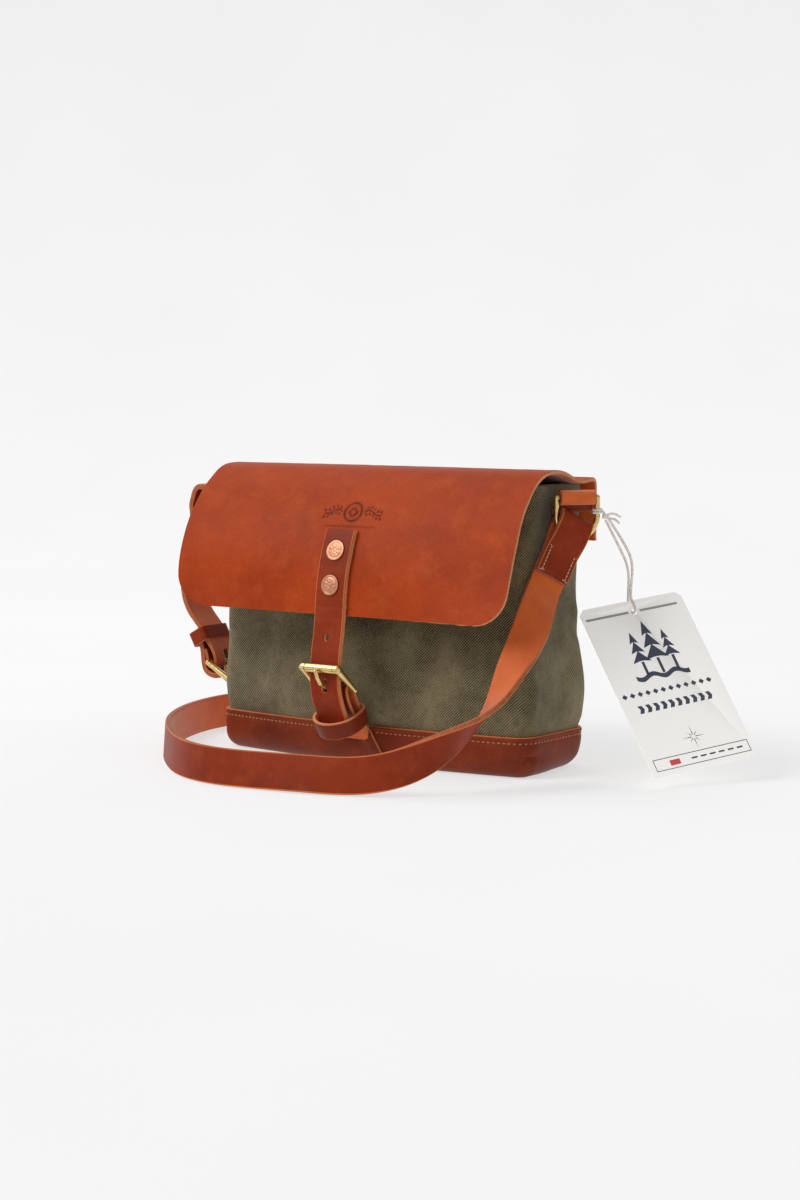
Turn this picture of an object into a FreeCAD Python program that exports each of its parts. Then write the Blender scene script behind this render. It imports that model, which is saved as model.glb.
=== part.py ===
"""Satchel bag: canvas body, leather base, leather flap with a strap and buckle, shoulder strap, hang tag.

Millimetres. Origin at the centre of the bag's base, on the surface it stands on.
+X to the end with the hang tag, -Y to the front with the buckle, +Z up.
"""
import FreeCAD, Part

import math
import os

V = FreeCAD.Vector

# ---- driving dimensions of the bag --------------------------------------------------------
HALF_WIDTH = 134.5        # nominal outline, between canvas and leather
BACK_Y = 38.5
FRONT_CORNER_Y = -38.5
FRONT_BULGE_Y = -51.0
TAPER_FROM = 95.0         # the front leans back above this height
TOP_CORNER_Y = -33.0
TOP_BULGE_Y = -35.0
CORNER_R = 14.0
BAG_TOP = 201.0
LEATHER = 2.8
CANVAS = 2.2
LINING = 0.8
CANVAS_INSET = 0.8        # canvas face inside the nominal outline
BASE_HEIGHT = 29.0
BASE_EDGE_R = 12.0
CANVAS_LOW = 14.0
LINING_LOW = 5.3
LINING_EASE = 0.15
LINING_TOP = 190.0
LINING_EDGE_R = 8.0
BOARD_THICK = 2.4
BOARD_INSET = 18.0
RIGHT_LIFT = 0.3
OVERLAP_TOP_X = 11.0      # the slanted edge where the base's left leather laps over the right
OVERLAP_LOW_X = 30.0

# ---- flap ---------------------------------------------------------------------------------
FLAP_HALF = 141.0
FLAP_CORNER_R = 22.0
FLAP_LOW_Z = 109.0
HINGE_Z = 201.0
BACK_PANEL_LOW = 160.0
FLAP_OUTER = [            # outer face in section, y then z, from the hinge to the free edge
    (40.9, 204.4), (32.0, 204.6), (18.0, 206.0), (5.0, 208.8), (-8.0, 210.8), (-20.0, 210.6),
    (-31.0, 208.0), (-41.0, 202.0), (-50.0, 193.6), (-58.0, 183.0), (-65.0, 170.0),
    (-71.0, 156.0), (-75.5, 142.0), (-78.5, 128.0), (-80.2, 109.0),
]

# ---- closing strap and its hardware ---------------------------------------------------------
STRAP_WIDE = 25.0
STRAP_THICK = 4.0
STRAP_TOP_Z = 167.0
TAIL_OUTER = [            # outer face of the loose end, y then z
    (-84.2, 109.0), (-86.2, 96.0), (-88.4, 84.0), (-89.7, 74.0), (-90.4, 64.0),
    (-89.4, 56.0), (-86.4, 47.0), (-83.4, 38.0), (-81.6, 28.0),
]
RIVET_Z = (152.5, 129.5)
RIVET_CAP_R = 7.3
RIVET_CAP_THICK = 1.3
RIVET_SHANK_R = 2.0
RIVET_SEAT = 0.15         # the cap's gap over the strap
RIVET_RIM = 0.6
RIVET_PEEN = 0.6          # the shank stands this far through its burr
BURR_R = 5.0
BURR_THICK = 1.2
BURR_SEAT = 0.05
SPARE_HOLE_Z = 94.0
SPARE_HOLE_R = 2.2
PRONG_SLOT_LOW = 55.5
PRONG_SLOT_HIGH = 65.5
PRONG_SLOT_HALF = 2.6

HEEL = V(0, -76.0, 57.0)
REACH = V(0, -18.0, 16.0)  # from the heel bar towards the roller
BUCKLE_LONG = 24.1
HEEL_R = 2.0
HEEL_HALF = 16.6
LUG_R = 3.1
LUG_INNER = 12.4
LUG_OUTER = 18.0
AXLE_R = 1.4
ARM_STEP = 0.15
RUNNING_GAP = 0.05
ROLLER_R = 3.1
ROLLER_HALF = 12.1
PRONG_R = 1.6
PRONG_EYE_R = 4.0
PRONG_EYE_HALF = 1.8
PRONG_PATH = [(3.2, 1.5), (10.0, 6.0), (16.7, 7.7), (22.6, 6.6), (26.8, 4.6)]
FOLD_GRIP = 0.35

KEEPER_HALF = 17.0
KEEPER_THICK = 2.6
KEEPER_MIDDLE = V(0, -73.0, 35.0)
KEEPER_DEEP = 15.0        # half its depth, front to back
KEEPER_TALL = 10.0
KEEPER_TILT = 23.0        # its front hangs lower, square to the tongue
KEEPER_CORNER_R = 8.0

# ---- ring sets at the two ends of the bag ----------------------------------------------------
RING_WIRE_R = 1.9
RING_R = 15.1             # bow, to the middle of the wire
RING_LEG = 12.5
TAB_WIDE = 26.0
TAB_THICK = 2.8
TAB_EYE_R = 2.3
TAB_SHIFT = 8.0
TAB_BEND = 183.0
TAB_LOW = 158.0
RIGHT_BAR = V(150.5, -1.2, 192.2)
RIGHT_TURN = 55.0         # direction of the bar in plan, degrees from +X
LEFT_BAR = V(-153.0, -8.0, 195.5)
LEFT_TURN = 90.0
LEFT_TILT = -53.0         # the left ring stands out from the bag, degrees from hanging

# ---- shoulder strap --------------------------------------------------------------------------
END_TILT = 24.0           # the strap pulls this far to one side of the right ring
END_LEAN = 9.0            # and its end leans this far out from the ring's plane
END_GAP = 3.9
END_OUT = 1.0
END_PATCH = 37.0
PLY_GAP = 0.05            # between the strap's two layers where they are sewn
FOLD_CLOSES = 12.0        # the layers meet this far below the ring's bow
SHOULDER = [              # middle of the strap, then the direction of its width
    ((143.3, -39.5, 118.0), (0.68, 0.56, -0.48)),
    ((144.6, -54.7, 98.0), (0.92, 0.26, -0.28)),
    ((143.3, -70.3, 79.5), (0.99, -0.12, -0.04)),
    ((141.0, -86.0, 60.0), (0.86, -0.48, 0.18)),
    ((132.8, -103.3, 43.0), (0.54, -0.68, 0.5)),
    ((120.0, -125.0, 29.5), (0.02, -0.56, 0.83)),
    ((102.0, -142.0, 19.0), (-0.27, -0.14, 0.95)),
    ((78.0, -154.0, 13.5), (-0.17, 0.16, 0.97)),
    ((44.0, -165.5, 13.0), (-0.06, 0.3, 0.95)),
    ((8.0, -172.0, 12.9), (0.0, 0.24, 0.97)),
    ((-28.0, -174.0, 12.9), (0.04, 0.18, 0.98)),
    ((-62.0, -164.0, 12.8), (0.08, 0.1, 0.99)),
    ((-96.0, -140.0, 12.8), (0.08, 0.05, 1.0)),
    ((-130.0, -107.0, 12.9), (0.06, 0.04, 1.0)),
    ((-159.0, -70.0, 13.0), (0.04, 0.02, 1.0)),
    ((-180.0, -31.0, 13.0), (0.0, 0.0, 1.0)),
    ((-194.0, 12.0, 13.0), (0.0, 0.0, 1.0)),
    ((-194.0, 56.0, 13.0), (0.0, 0.0, 1.0)),
    ((-172.0, 94.0, 13.0), (0.0, 0.0, 1.0)),
    ((-132.0, 116.0, 13.0), (0.0, 0.0, 1.0)),
    ((-88.0, 126.0, 13.0), (0.0, 0.0, 1.0)),
    ((-42.0, 132.0, 13.0), (0.0, 0.0, 1.0)),
    ((-6.0, 128.0, 13.0), (0.0, 0.0, 1.0)),
    ((16.0, 106.0, 13.0), (0.0, 0.0, 1.0)),
    ((12.0, 80.0, 13.0), (0.0, 0.0, 1.0)),
    ((-14.0, 66.0, 13.0), (0.0, 0.0, 1.0)),
    ((-52.0, 62.0, 13.0), (0.0, 0.0, 1.0)),
    ((-92.0, 62.0, 13.0), (0.0, 0.0, 1.0)),
    ((-124.0, 62.0, 13.0), (0.0, 0.0, 1.0)),
    ((-146.0, 47.0, 14.4), (0.0, 0.2, 0.98)),
    ((-150.5, 27.0, 18.8), (0.0, 0.34, 0.94)),
    ((-146.0, 9.5, 24.0), (0.0, 0.6, 0.8)),
]
LEADS = (12.0, 8.0, 4.0, 1.5, 0.0)   # stations before the end of a patch, so that a run leaves it straight
RUN_BREAKS = (8, 12, 16, 20, 24, 28, 32, 37)

# ---- short strap and buckle between the left ring and the end of the shoulder strap -------------
LEFT_FOLD_DOWN = V(-0.33, 0.0, -0.944)
LEFT_FOLD_SHIFT = 1.8
LEFT_FOLD_GAP = 4.8
LEFT_PATCH = 35.0
LEFT_END = [              # middle of the short strap below its folded end
    ((-189.3, -7.6, 125.0), (0.0, 1.0, 0.0)),
    ((-189.0, -7.0, 107.0), (0.0, 1.0, 0.0)),
    ((-184.0, -6.0, 94.5), (0.0, 1.0, 0.0)),
    ((-176.4, -5.0, 84.6), (0.0, 1.0, 0.0)),
    ((-169.6, -4.2, 72.4), (0.0, 1.0, 0.0)),
    ((-167.8, -4.0, 61.0), (0.0, 1.0, 0.0)),
]
LEFT_TAIL = [             # end of the shoulder strap, through the buckle and up the outside
    ((-140.6, -1.5, 31.5), (0.0, 0.95, 0.30)),
    ((-138.3, -4.0, 45.5), (0.0, 1.0, 0.0)),
    ((-141.6, -4.0, 52.6), (0.0, 1.0, 0.0)),
    ((-152.0, -4.0, 51.0), (0.0, 1.0, 0.0)),
    ((-162.0, -4.0, 48.2), (0.0, 1.0, 0.0)),
    ((-170.5, -4.0, 51.6), (0.0, 1.0, 0.0)),
    ((-173.2, -4.0, 61.0), (0.0, 1.0, 0.0)),
    ((-174.4, -4.4, 70.6), (0.0, 1.0, 0.0)),
    ((-180.4, -5.0, 81.4), (0.0, 1.0, 0.0)),
]
LEFT_HEEL = V(-164.5, -4.0, 58.5)
LEFT_REACH = V(0.86, 0.0, -0.51)
LOOP_AT = V(-175.2, -5.0, 77.4)
LOOP_ALONG = V(-0.487, 0.0, 0.873)
LOOP_HALF_WIDE = 13.2
LOOP_HALF_DEEP = 6.1
LOOP_TALL = 11.0
LOOP_THICK = 2.0

# ---- hang tag and its string -------------------------------------------------------------------
TAG_WIDE = 82.0
TAG_TALL = 134.0
TAG_THICK = 0.8
TAG_TOP_LEFT = V(145.7, 8.6, 113.1)
TAG_TOP_RIGHT = V(185.0, 79.7, 124.1)
TAG_LOW_LEFT = V(223.6, -18.0, 7.3)
TAG_CHAMFER = 4.0
TAG_HOLE_DOWN = 9.0
TAG_HOLE_R = 2.4
STRING_R = 0.9
KNOT = V(163.6, 14.4, 179.0)
KNOT_R = 2.7
KNOT_UP = 3.0             # its turns round the wire, above the foot of the ring's leg


def band(outer, thick, half_width):
    """Strip of leather seen in section: outer is its outer face, y then z, and it runs along X."""
    face = spline_face(outer, thick)
    face.translate(V(-half_width, 0, 0))
    return face.extrude(V(2 * half_width, 0, 0))


def spline(points):
    curve = Part.BSplineCurve()
    curve.interpolate([V(0, y, z) for y, z in points])
    return curve


def set_in(curve, thick, count):
    """Points a thickness inside the curve, on the side towards the bag."""
    first, last = curve.FirstParameter, curve.LastParameter
    result = []
    for step in range(count + 1):
        at = first + (last - first) * step / count
        tangent = curve.tangent(at)[0]
        normal = V(0, -tangent.z, tangent.y)
        result.append(curve.value(at) + normal * thick)
    return result


def spline_face(outer, thick):
    curve = spline(outer)
    inside = set_in(curve, thick, 2 * len(outer))
    back = Part.BSplineCurve()
    back.interpolate(inside)
    return ribbon_face(curve, back)


def ribbon_face(one, other):
    """Flat face between two curves that run side by side."""
    edges = [
        one.toShape(),
        Part.makeLine(one.EndPoint, other.EndPoint),
        other.toShape(),
        Part.makeLine(other.StartPoint, one.StartPoint),
    ]
    return Part.Face(Part.Wire(Part.__sortEdges__(edges)))


def outline_face(inset, corner_y=FRONT_CORNER_Y, bulge_y=FRONT_BULGE_Y):
    """Plan of the bag at its nominal outline, drawn in by inset."""
    left, right = -HALF_WIDTH, HALF_WIDTH
    front = Part.Arc(V(left, corner_y, 0), V(0, bulge_y, 0), V(right, corner_y, 0))
    edges = [
        front.toShape(),
        Part.makeLine(V(right, corner_y, 0), V(right, BACK_Y, 0)),
        Part.makeLine(V(right, BACK_Y, 0), V(left, BACK_Y, 0)),
        Part.makeLine(V(left, BACK_Y, 0), V(left, corner_y, 0)),
    ]
    block = Part.Face(Part.Wire(edges)).extrude(V(0, 0, 10))
    upright = [edge for edge in block.Edges if is_upright(edge)]
    rounded = block.makeFillet(CORNER_R, upright)
    wire = rounded.slice(V(0, 0, 1), 5)[0]
    wire.translate(V(0, 0, -5))
    face = Part.Face(wire)
    if inset:
        face = face.makeOffset2D(-inset)
    return face


def is_upright(edge):
    first, last = edge.Vertexes[0].Point, edge.Vertexes[-1].Point
    return abs(first.z - last.z) > 1 and abs(first.x - last.x) < 1e-6 and abs(first.y - last.y) < 1e-6


def prism(inset, low, high):
    face = outline_face(inset)
    face.translate(V(0, 0, low))
    return face.extrude(V(0, 0, high - low))


def taper_wire(inset, height):
    """Outline at a height on the leaning upper part of the front."""
    share = (height - TAPER_FROM) / (BAG_TOP - TAPER_FROM)
    corner = FRONT_CORNER_Y + (TOP_CORNER_Y - FRONT_CORNER_Y) * share
    bulge = FRONT_BULGE_Y + (TOP_BULGE_Y - FRONT_BULGE_Y) * share
    wire = outline_face(inset, corner, bulge).OuterWire
    wire.translate(V(0, 0, height))
    return wire


def wall_core(inset, low, high):
    """Solid inside one face of the bag's wall: upright below, leaning back in front above."""
    upper = Part.makeLoft([taper_wire(inset, TAPER_FROM), taper_wire(inset, high)], True, True)
    return joined([prism(inset, low, TAPER_FROM), upper])


def round_foot(solid, low, radius):
    """Round the edge all round the foot of a prism."""
    foot = [edge for edge in solid.Edges if all(abs(v.Z - low) < 1e-6 for v in edge.Vertexes)]
    return solid.makeFillet(radius, foot)


def box(low, high):
    return Part.makeBox(high[0] - low[0], high[1] - low[1], high[2] - low[2], V(*low))


def rod(start, end, radius):
    along = end - start
    return Part.makeCylinder(radius, along.Length, start, along)


def cone(start, end, first_r, last_r):
    along = end - start
    return Part.makeCone(first_r, last_r, along.Length, start, along)


def ball(centre, radius):
    return Part.makeSphere(radius, centre)


def joined(pieces):
    whole = pieces[0].fuse(pieces[1:]) if len(pieces) > 1 else pieces[0]
    return whole.removeSplitter()


def chain(points, radius):
    """Round bar through points, with a ball at each bend."""
    pieces = [ball(points[0], radius)]
    for start, end in zip(points, points[1:]):
        pieces.append(rod(start, end, radius))
        pieces.append(ball(end, radius))
    return joined(pieces)


def routed(points):
    """Straight runs joined by arcs that touch them, and the arcs' radii."""
    edges, radii, at = [], [], points[0]
    for before, corner, after in zip(points, points[1:], points[2:]):
        into = corner - before
        away = after - corner
        turn = into.getAngle(away)
        cut = 0.45 * min(into.Length, away.Length)
        radii.append(cut / math.tan(turn / 2))
        into.normalize()
        away.normalize()
        start = corner - into * cut
        end = corner + away * cut
        inward = away - into
        inward.normalize()
        middle = corner + inward * (radii[-1] / math.cos(turn / 2) - radii[-1])
        edges.append(Part.makeLine(at, start))
        edges.append(Part.Arc(start, middle, end).toShape())
        at = end
    edges.append(Part.makeLine(at, points[-1]))
    return Part.Wire(edges), radii


def tube(points, radius, name):
    wire, radii = routed(points)
    start = points[0]
    circle = Part.Wire(Part.makeCircle(radius, start, points[1] - start))
    solid = wire.makePipeShell([circle], True, False)
    print(name, "radii", [round(r, 1) for r in radii], "length", round(wire.Length, 1),
          "volume ratio", round(solid.Volume / (math.pi * radius ** 2 * wire.Length), 3))
    return solid


# ---- bag body -----------------------------------------------------------------------------------

def base_tray():
    outer = round_foot(prism(CANVAS_INSET - LEATHER, 0, BASE_HEIGHT), 0, BASE_EDGE_R)
    hollow = prism(CANVAS_INSET, LEATHER, BASE_HEIGHT + 10)
    return outer.cut(round_foot(hollow, LEATHER, BASE_EDGE_R - LEATHER))


def overlap_side(sign):
    """Half space to one side of the slanted edge where the base leathers meet."""
    slope = (OVERLAP_LOW_X - OVERLAP_TOP_X) / BASE_HEIGHT
    far = sign * 400
    reach = 40
    top_x = OVERLAP_TOP_X - slope * reach
    low_x = OVERLAP_LOW_X + slope * reach
    corners = [V(top_x, -200, BASE_HEIGHT + reach), V(far, -200, BASE_HEIGHT + reach),
               V(far, -200, -reach), V(low_x, -200, -reach)]
    return Part.Face(Part.makePolygon(corners + corners[:1])).extrude(V(0, 400, 0))


def strap_tab():
    """Tongue of the base leather that runs up to the front buckle and folds round its heel bar."""
    eye, bore, slot = heel_fold(HEEL, V(1, 0, 0), V(REACH))
    front = [(-81.0, 56.0), (-77.6, 46.0), (-71.0, 37.0), (-61.0, 31.0)]
    under = band(front, LEATHER, STRAP_WIDE / 2)
    return joined([eye, tongue_back(), under]).cut(bore).cut(slot)


def tongue_back():
    line = [(-53.4, 18.0), (-59.6, 33.0), (-66.0, 46.0), (-71.4, 58.5)]
    return band(line, -LEATHER, STRAP_WIDE / 2)


def bag_side():
    """Everything behind the front of the base and canvas, which the keeper stays clear of."""
    return prism(CANVAS_INSET - LEATHER - 0.3, 0, BAG_TOP)


def base_leather_left():
    tray = base_tray().cut(overlap_side(1))
    return joined([tray, strap_tab()])


def base_leather_right():
    """Right piece; its underside clears the floor, so the bag stands on the piece that laps over it."""
    below = box((-200, -200, -1), (200, 200, RIGHT_LIFT))
    return base_tray().common(overlap_side(1)).cut(below)


def base_board():
    return prism(BOARD_INSET, LEATHER, LEATHER + BOARD_THICK)


def canvas_ring():
    return wall_core(CANVAS_INSET, CANVAS_LOW, BAG_TOP).cut(
        wall_core(CANVAS_INSET + CANVAS, CANVAS_LOW - 1, BAG_TOP + 1))


def canvas_front():
    return canvas_ring().common(box((-200, -200, 0), (200, 0, 300)))


def canvas_back():
    return canvas_ring().common(box((-200, 0, 0), (200, 200, 300)))


def lining():
    inset = CANVAS_INSET + CANVAS + LINING_EASE
    outer = round_foot(wall_core(inset, LINING_LOW, LINING_TOP), LINING_LOW, LINING_EDGE_R)
    hollow = wall_core(inset + LINING, LINING_LOW + LINING, LINING_TOP + 5)
    return outer.cut(round_foot(hollow, LINING_LOW + LINING, LINING_EDGE_R - LINING))


def inner_pocket():
    face = BACK_Y - CANVAS_INSET - CANVAS - LINING_EASE - LINING
    return box((-80, face - 1.0, 70), (80, face, 165))


# ---- flap ---------------------------------------------------------------------------------------

def flap_back():
    face = BACK_Y - CANVAS_INSET
    return box((-FLAP_HALF, face, BACK_PANEL_LOW), (FLAP_HALF, face + LEATHER, HINGE_Z))


def flap_shape():
    """Front view of the flap, with its two rounded lower corners."""
    block = box((-FLAP_HALF, -150, FLAP_LOW_Z), (FLAP_HALF, 60, 260))
    low = [edge for edge in block.Edges
           if all(abs(v.Z - FLAP_LOW_Z) < 1e-6 and abs(abs(v.X) - FLAP_HALF) < 1e-6 for v in edge.Vertexes)]
    return block.makeFillet(FLAP_CORNER_R, low)


def flap():
    sheet = band(FLAP_OUTER, LEATHER, FLAP_HALF).common(flap_shape())
    for height in RIVET_Z:
        sheet = sheet.cut(rivet_shank(height, 0.0))
    return sheet


def flap_station(height):
    """Point on the flap's outer face at this height on its front, and the way the face looks."""
    curve = spline(FLAP_OUTER)
    low, high = curve.FirstParameter, curve.LastParameter
    low = (low + high) / 2
    for _ in range(40):
        middle = (low + high) / 2
        if curve.value(middle).z > height:
            low = middle
        else:
            high = middle
    tangent = curve.tangent(middle)[0]
    return curve.value(middle), V(0, tangent.z, -tangent.y), middle


def closing_strap():
    """Upper part of the closing strap, riveted to the flap."""
    curve = spline(FLAP_OUTER)
    start = flap_station(STRAP_TOP_Z)[2]
    curve.segment(start, curve.LastParameter)
    count = 12
    outer = set_in(curve, -STRAP_THICK, count)
    face = Part.BSplineCurve()
    face.interpolate(outer)
    section = ribbon_face(curve, face)
    section.translate(V(-STRAP_WIDE / 2, 0, 0))
    strap = section.extrude(V(STRAP_WIDE, 0, 0))
    for height in RIVET_Z:
        strap = strap.cut(rivet_shank(height, 0.0))
    return strap


def closing_strap_tail():
    """Lower part of the closing strap, behind the roller and down into the keeper."""
    strap = band(TAIL_OUTER, STRAP_THICK, STRAP_WIDE / 2)
    strap = strap.cut(Part.makeCylinder(SPARE_HOLE_R, 40, V(0, -100, SPARE_HOLE_Z), V(0, 1, 0)))
    slot = box((-PRONG_SLOT_HALF, -100, PRONG_SLOT_LOW), (PRONG_SLOT_HALF, -80, PRONG_SLOT_HIGH))
    return strap.cut(slot)


def rivet_shank(height, extra):
    at, normal, _ = flap_station(height)
    return rod(at - normal * (LEATHER + extra), at + normal * (STRAP_THICK + extra), RIVET_SHANK_R)


def rivet(height):
    at, normal, _ = flap_station(height)
    seat = at + normal * (STRAP_THICK + RIVET_SEAT)
    cap = rod(seat, seat + normal * RIVET_CAP_THICK, RIVET_CAP_R)
    rim = [edge for edge in cap.Edges if edge.Curve.TypeId == "Part::GeomCircle"
           and (edge.Curve.Center - seat).Length > 1]
    cap = cap.makeFillet(RIVET_RIM, rim)
    foot = at - normal * (LEATHER + BURR_THICK + RIVET_PEEN)
    shank = rod(foot, seat + normal * RIVET_SEAT, RIVET_SHANK_R)
    return joined([cap, shank])


def burr(height):
    at, normal, _ = flap_station(height)
    seat = at - normal * (LEATHER + BURR_SEAT)
    washer = rod(seat, seat - normal * BURR_THICK, BURR_R)
    return washer.cut(rod(seat + normal, seat - normal * 3, RIVET_SHANK_R))


# ---- roller buckles: one design, placed twice -----------------------------------------------------

def set_at(shape, origin, bar, reach):
    """Move a buckle piece, drawn with its bar on X and its roller out along Y, to its place."""
    bar.normalize()
    reach.normalize()
    out = bar.cross(reach)
    matrix = FreeCAD.Matrix(
        bar.x, reach.x, out.x, origin.x,
        bar.y, reach.y, out.y, origin.y,
        bar.z, reach.z, out.z, origin.z,
        0, 0, 0, 1)
    return shape.transformed(matrix)


def buckle_frame():
    """Heel bar, two tapered arms, two lugs and the roller's axle."""
    front = V(0, BUCKLE_LONG, 0)
    pieces = [rod(V(-HEEL_HALF, 0, 0), V(HEEL_HALF, 0, 0), HEEL_R)]
    for side in (-1, 1):
        corner = V(side * HEEL_HALF, 0, 0)
        lug = front + V(side * (LUG_OUTER - LUG_R), 0, 0)
        pieces.append(ball(corner, HEEL_R))
        pieces.append(cone(corner, lug, HEEL_R - ARM_STEP, LUG_R - 2 * ARM_STEP))
        pieces.append(rod(front + V(side * LUG_INNER, 0, 0), lug, LUG_R))
        pieces.append(ball(lug, LUG_R))
    pieces.append(rod(front - V(LUG_INNER + 1, 0, 0), front + V(LUG_INNER + 1, 0, 0), AXLE_R))
    return joined(pieces)


def buckle_roller():
    front = V(0, BUCKLE_LONG, 0)
    outer = rod(front - V(ROLLER_HALF, 0, 0), front + V(ROLLER_HALF, 0, 0), ROLLER_R)
    rims = [edge for edge in outer.Edges if edge.Curve.TypeId == "Part::GeomCircle"]
    outer = outer.makeFillet(0.4, rims)
    return outer.cut(rod(front - V(30, 0, 0), front + V(30, 0, 0), AXLE_R + RUNNING_GAP))


def buckle_prong():
    eye = rod(V(-PRONG_EYE_HALF, 0, 0), V(PRONG_EYE_HALF, 0, 0), PRONG_EYE_R)
    bore = rod(V(-10, 0, 0), V(10, 0, 0), HEEL_R + RUNNING_GAP)
    shaft = chain([V(0, y, z) for y, z in PRONG_PATH], PRONG_R)
    return joined([eye, shaft]).cut(bore)


def front_buckle(make):
    return set_at(make(), HEEL, V(1, 0, 0), V(REACH))


def strap_buckle(make):
    return set_at(make(), LEFT_HEEL, V(0, 1, 0), V(LEFT_REACH))


def front_keeper():
    """Leather loop that holds the end of the closing strap against the tongue."""
    def loop(inset, tall):
        half, deep = KEEPER_HALF - inset, KEEPER_DEEP - inset
        block = box((-half, -deep, -tall / 2), (half, deep, tall / 2))
        front = [edge for edge in block.Edges if is_upright(edge) and edge.Vertexes[0].Y < 0]
        return block.makeFillet(KEEPER_CORNER_R - inset, front)
    ring = loop(0, KEEPER_TALL).cut(loop(KEEPER_THICK, KEEPER_TALL + 2))
    ring.rotate(V(0, 0, 0), V(1, 0, 0), KEEPER_TILT)
    ring.translate(KEEPER_MIDDLE)
    return ring.cut(tongue_back()).cut(bag_side())


# ---- ring sets -------------------------------------------------------------------------------------

def d_ring(turn, tilt, bar):
    """D-shaped ring hanging from its straight bar, turned in plan and swung out by tilt."""
    half = RING_R
    bow_z = -RING_LEG
    pieces = [
        chain([V(-half, 0, bow_z), V(-half, 0, 0), V(half, 0, 0), V(half, 0, bow_z)], RING_WIRE_R),
    ]
    circle = Part.Face(Part.Wire(Part.makeCircle(RING_WIRE_R, V(half, 0, bow_z), V(0, 0, 1))))
    pieces.append(circle.revolve(V(0, 0, bow_z), V(0, 1, 0), 180))
    return place(joined(pieces), turn, tilt, bar)


def place(shape, turn, tilt, at):
    """Swing a shape drawn along X about its bar, turn it in plan and move it to the bar."""
    shape.rotate(V(0, 0, 0), V(1, 0, 0), -tilt)
    shape.rotate(V(0, 0, 0), V(0, 0, 1), turn)
    shape.translate(at)
    return shape


def ring_tab(bar, turn, side):
    """Leather loop round a ring's bar, with its tail sewn flat to the end of the bag."""
    outer_r = TAB_EYE_R + TAB_THICK
    eye = Part.makeCylinder(outer_r, TAB_WIDE, V(-TAB_WIDE / 2, 0, 0), V(1, 0, 0))
    eye = place(eye, turn, 0, bar)
    along = V(math.cos(math.radians(turn)), math.sin(math.radians(turn)), 0)
    inward = V(-side, 0, 0) - along * (V(-side, 0, 0).dot(along))
    inward.normalize()
    wall = side * (HALF_WIDTH - CANVAS_INSET)
    middle = V(wall + side * TAB_THICK / 2, bar.y + TAB_SHIFT, 0)
    sections = [
        tab_section(bar + inward * (outer_r - TAB_THICK / 2) + V(0, 0, 1), along, inward),
        tab_section(bar + inward * (outer_r - TAB_THICK / 2) + V(0, 0, -5), along, inward),
        tab_section(V(middle.x, middle.y, TAB_BEND), V(0, 1, 0), V(side, 0, 0)),
        tab_section(V(middle.x, middle.y, TAB_LOW), V(0, 1, 0), V(side, 0, 0)),
    ]
    tail = Part.makeLoft(sections, True, True)
    bore = place(Part.makeCylinder(TAB_EYE_R, 60, V(-30, 0, 0), V(1, 0, 0)), turn, 0, bar)
    inside = prism(CANVAS_INSET, 100, 230)
    return joined([eye, tail]).cut(bore).cut(inside)


def tab_section(at, along, across):
    if along.y < 0:
        along = -along
    half = along * (TAB_WIDE / 2)
    deep = V(0, 0, 1).cross(along) * (TAB_THICK / 2)
    corners = [at - half - deep, at + half - deep, at + half + deep, at - half + deep]
    return Part.makePolygon(corners + corners[:1])


# ---- shoulder strap -----------------------------------------------------------------------------------

def end_frame():
    """Right-hand end of the strap: point on the ring's bow, width, run and outward directions."""
    turn = math.radians(RIGHT_TURN)
    lean = math.radians(END_TILT)
    bar = V(math.cos(turn), math.sin(turn), 0)
    out = V(math.sin(turn), -math.cos(turn), 0)
    wide = bar * math.cos(lean) - V(0, 0, 1) * math.sin(lean)
    flat = bar * -math.sin(lean) - V(0, 0, 1) * math.cos(lean)
    touch = RIGHT_BAR - V(0, 0, RING_LEG) + flat * RING_R
    swing = math.radians(END_LEAN)
    down = flat * math.cos(swing) + out * math.sin(swing)
    out = out * math.cos(swing) - flat * math.sin(swing)
    return touch + out * END_OUT, wide, down, out


def strap_fold(touch, wide, down, out, gap, patch):
    """Strap folded round a ring's bow and sewn back on itself over the length of its patch."""
    rise = RING_R - math.sqrt(RING_R ** 2 - (STRAP_WIDE / 2) ** 2) + 2 * RING_WIRE_R + FOLD_GRIP
    outer = gap + STRAP_THICK
    flat = STRAP_THICK + PLY_GAP
    pad = FOLD_CLOSES
    below = gap + 1

    def at(run, off):
        return touch + down * run + out * off

    half = [(patch, flat), (pad, flat), (below, outer), (-rise, outer)]
    mirror = [(run, -off) for run, off in reversed(half)]
    edges = [Part.makeLine(at(*one), at(*two)) for one, two in zip(half, half[1:])]
    edges.append(Part.Arc(at(-rise, outer), at(-rise - STRAP_THICK, 0), at(-rise, -outer)).toShape())
    edges += [Part.makeLine(at(*one), at(*two)) for one, two in zip(mirror, mirror[1:])]
    edges.append(Part.makeLine(at(patch, -flat), at(patch, flat)))
    window = [at(-rise, gap), at(below, gap), at(pad - 1, 0), at(below, -gap), at(-rise, -gap)]
    section = Part.Face(Part.Wire(edges)).cut(Part.Face(Part.makePolygon(window + window[:1])))
    section.translate(wide * (-STRAP_WIDE / 2))
    return section.extrude(wide * STRAP_WIDE)


def strap_end_right():
    touch, wide, down, out = end_frame()
    return strap_fold(touch, wide, down, out, END_GAP, END_PATCH)


def left_fold_frame():
    tilt = math.radians(LEFT_TILT)
    touch = LEFT_BAR + V(math.sin(tilt), 0, -math.cos(tilt)) * (RING_LEG + RING_R)
    down = V(LEFT_FOLD_DOWN)
    down.normalize()
    out = V(0, 1, 0).cross(down)
    return touch - out * LEFT_FOLD_SHIFT, V(0, 1, 0), down, out


def left_fold():
    touch, wide, down, out = left_fold_frame()
    return strap_fold(touch, wide, down, out, LEFT_FOLD_GAP, LEFT_PATCH)


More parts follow.
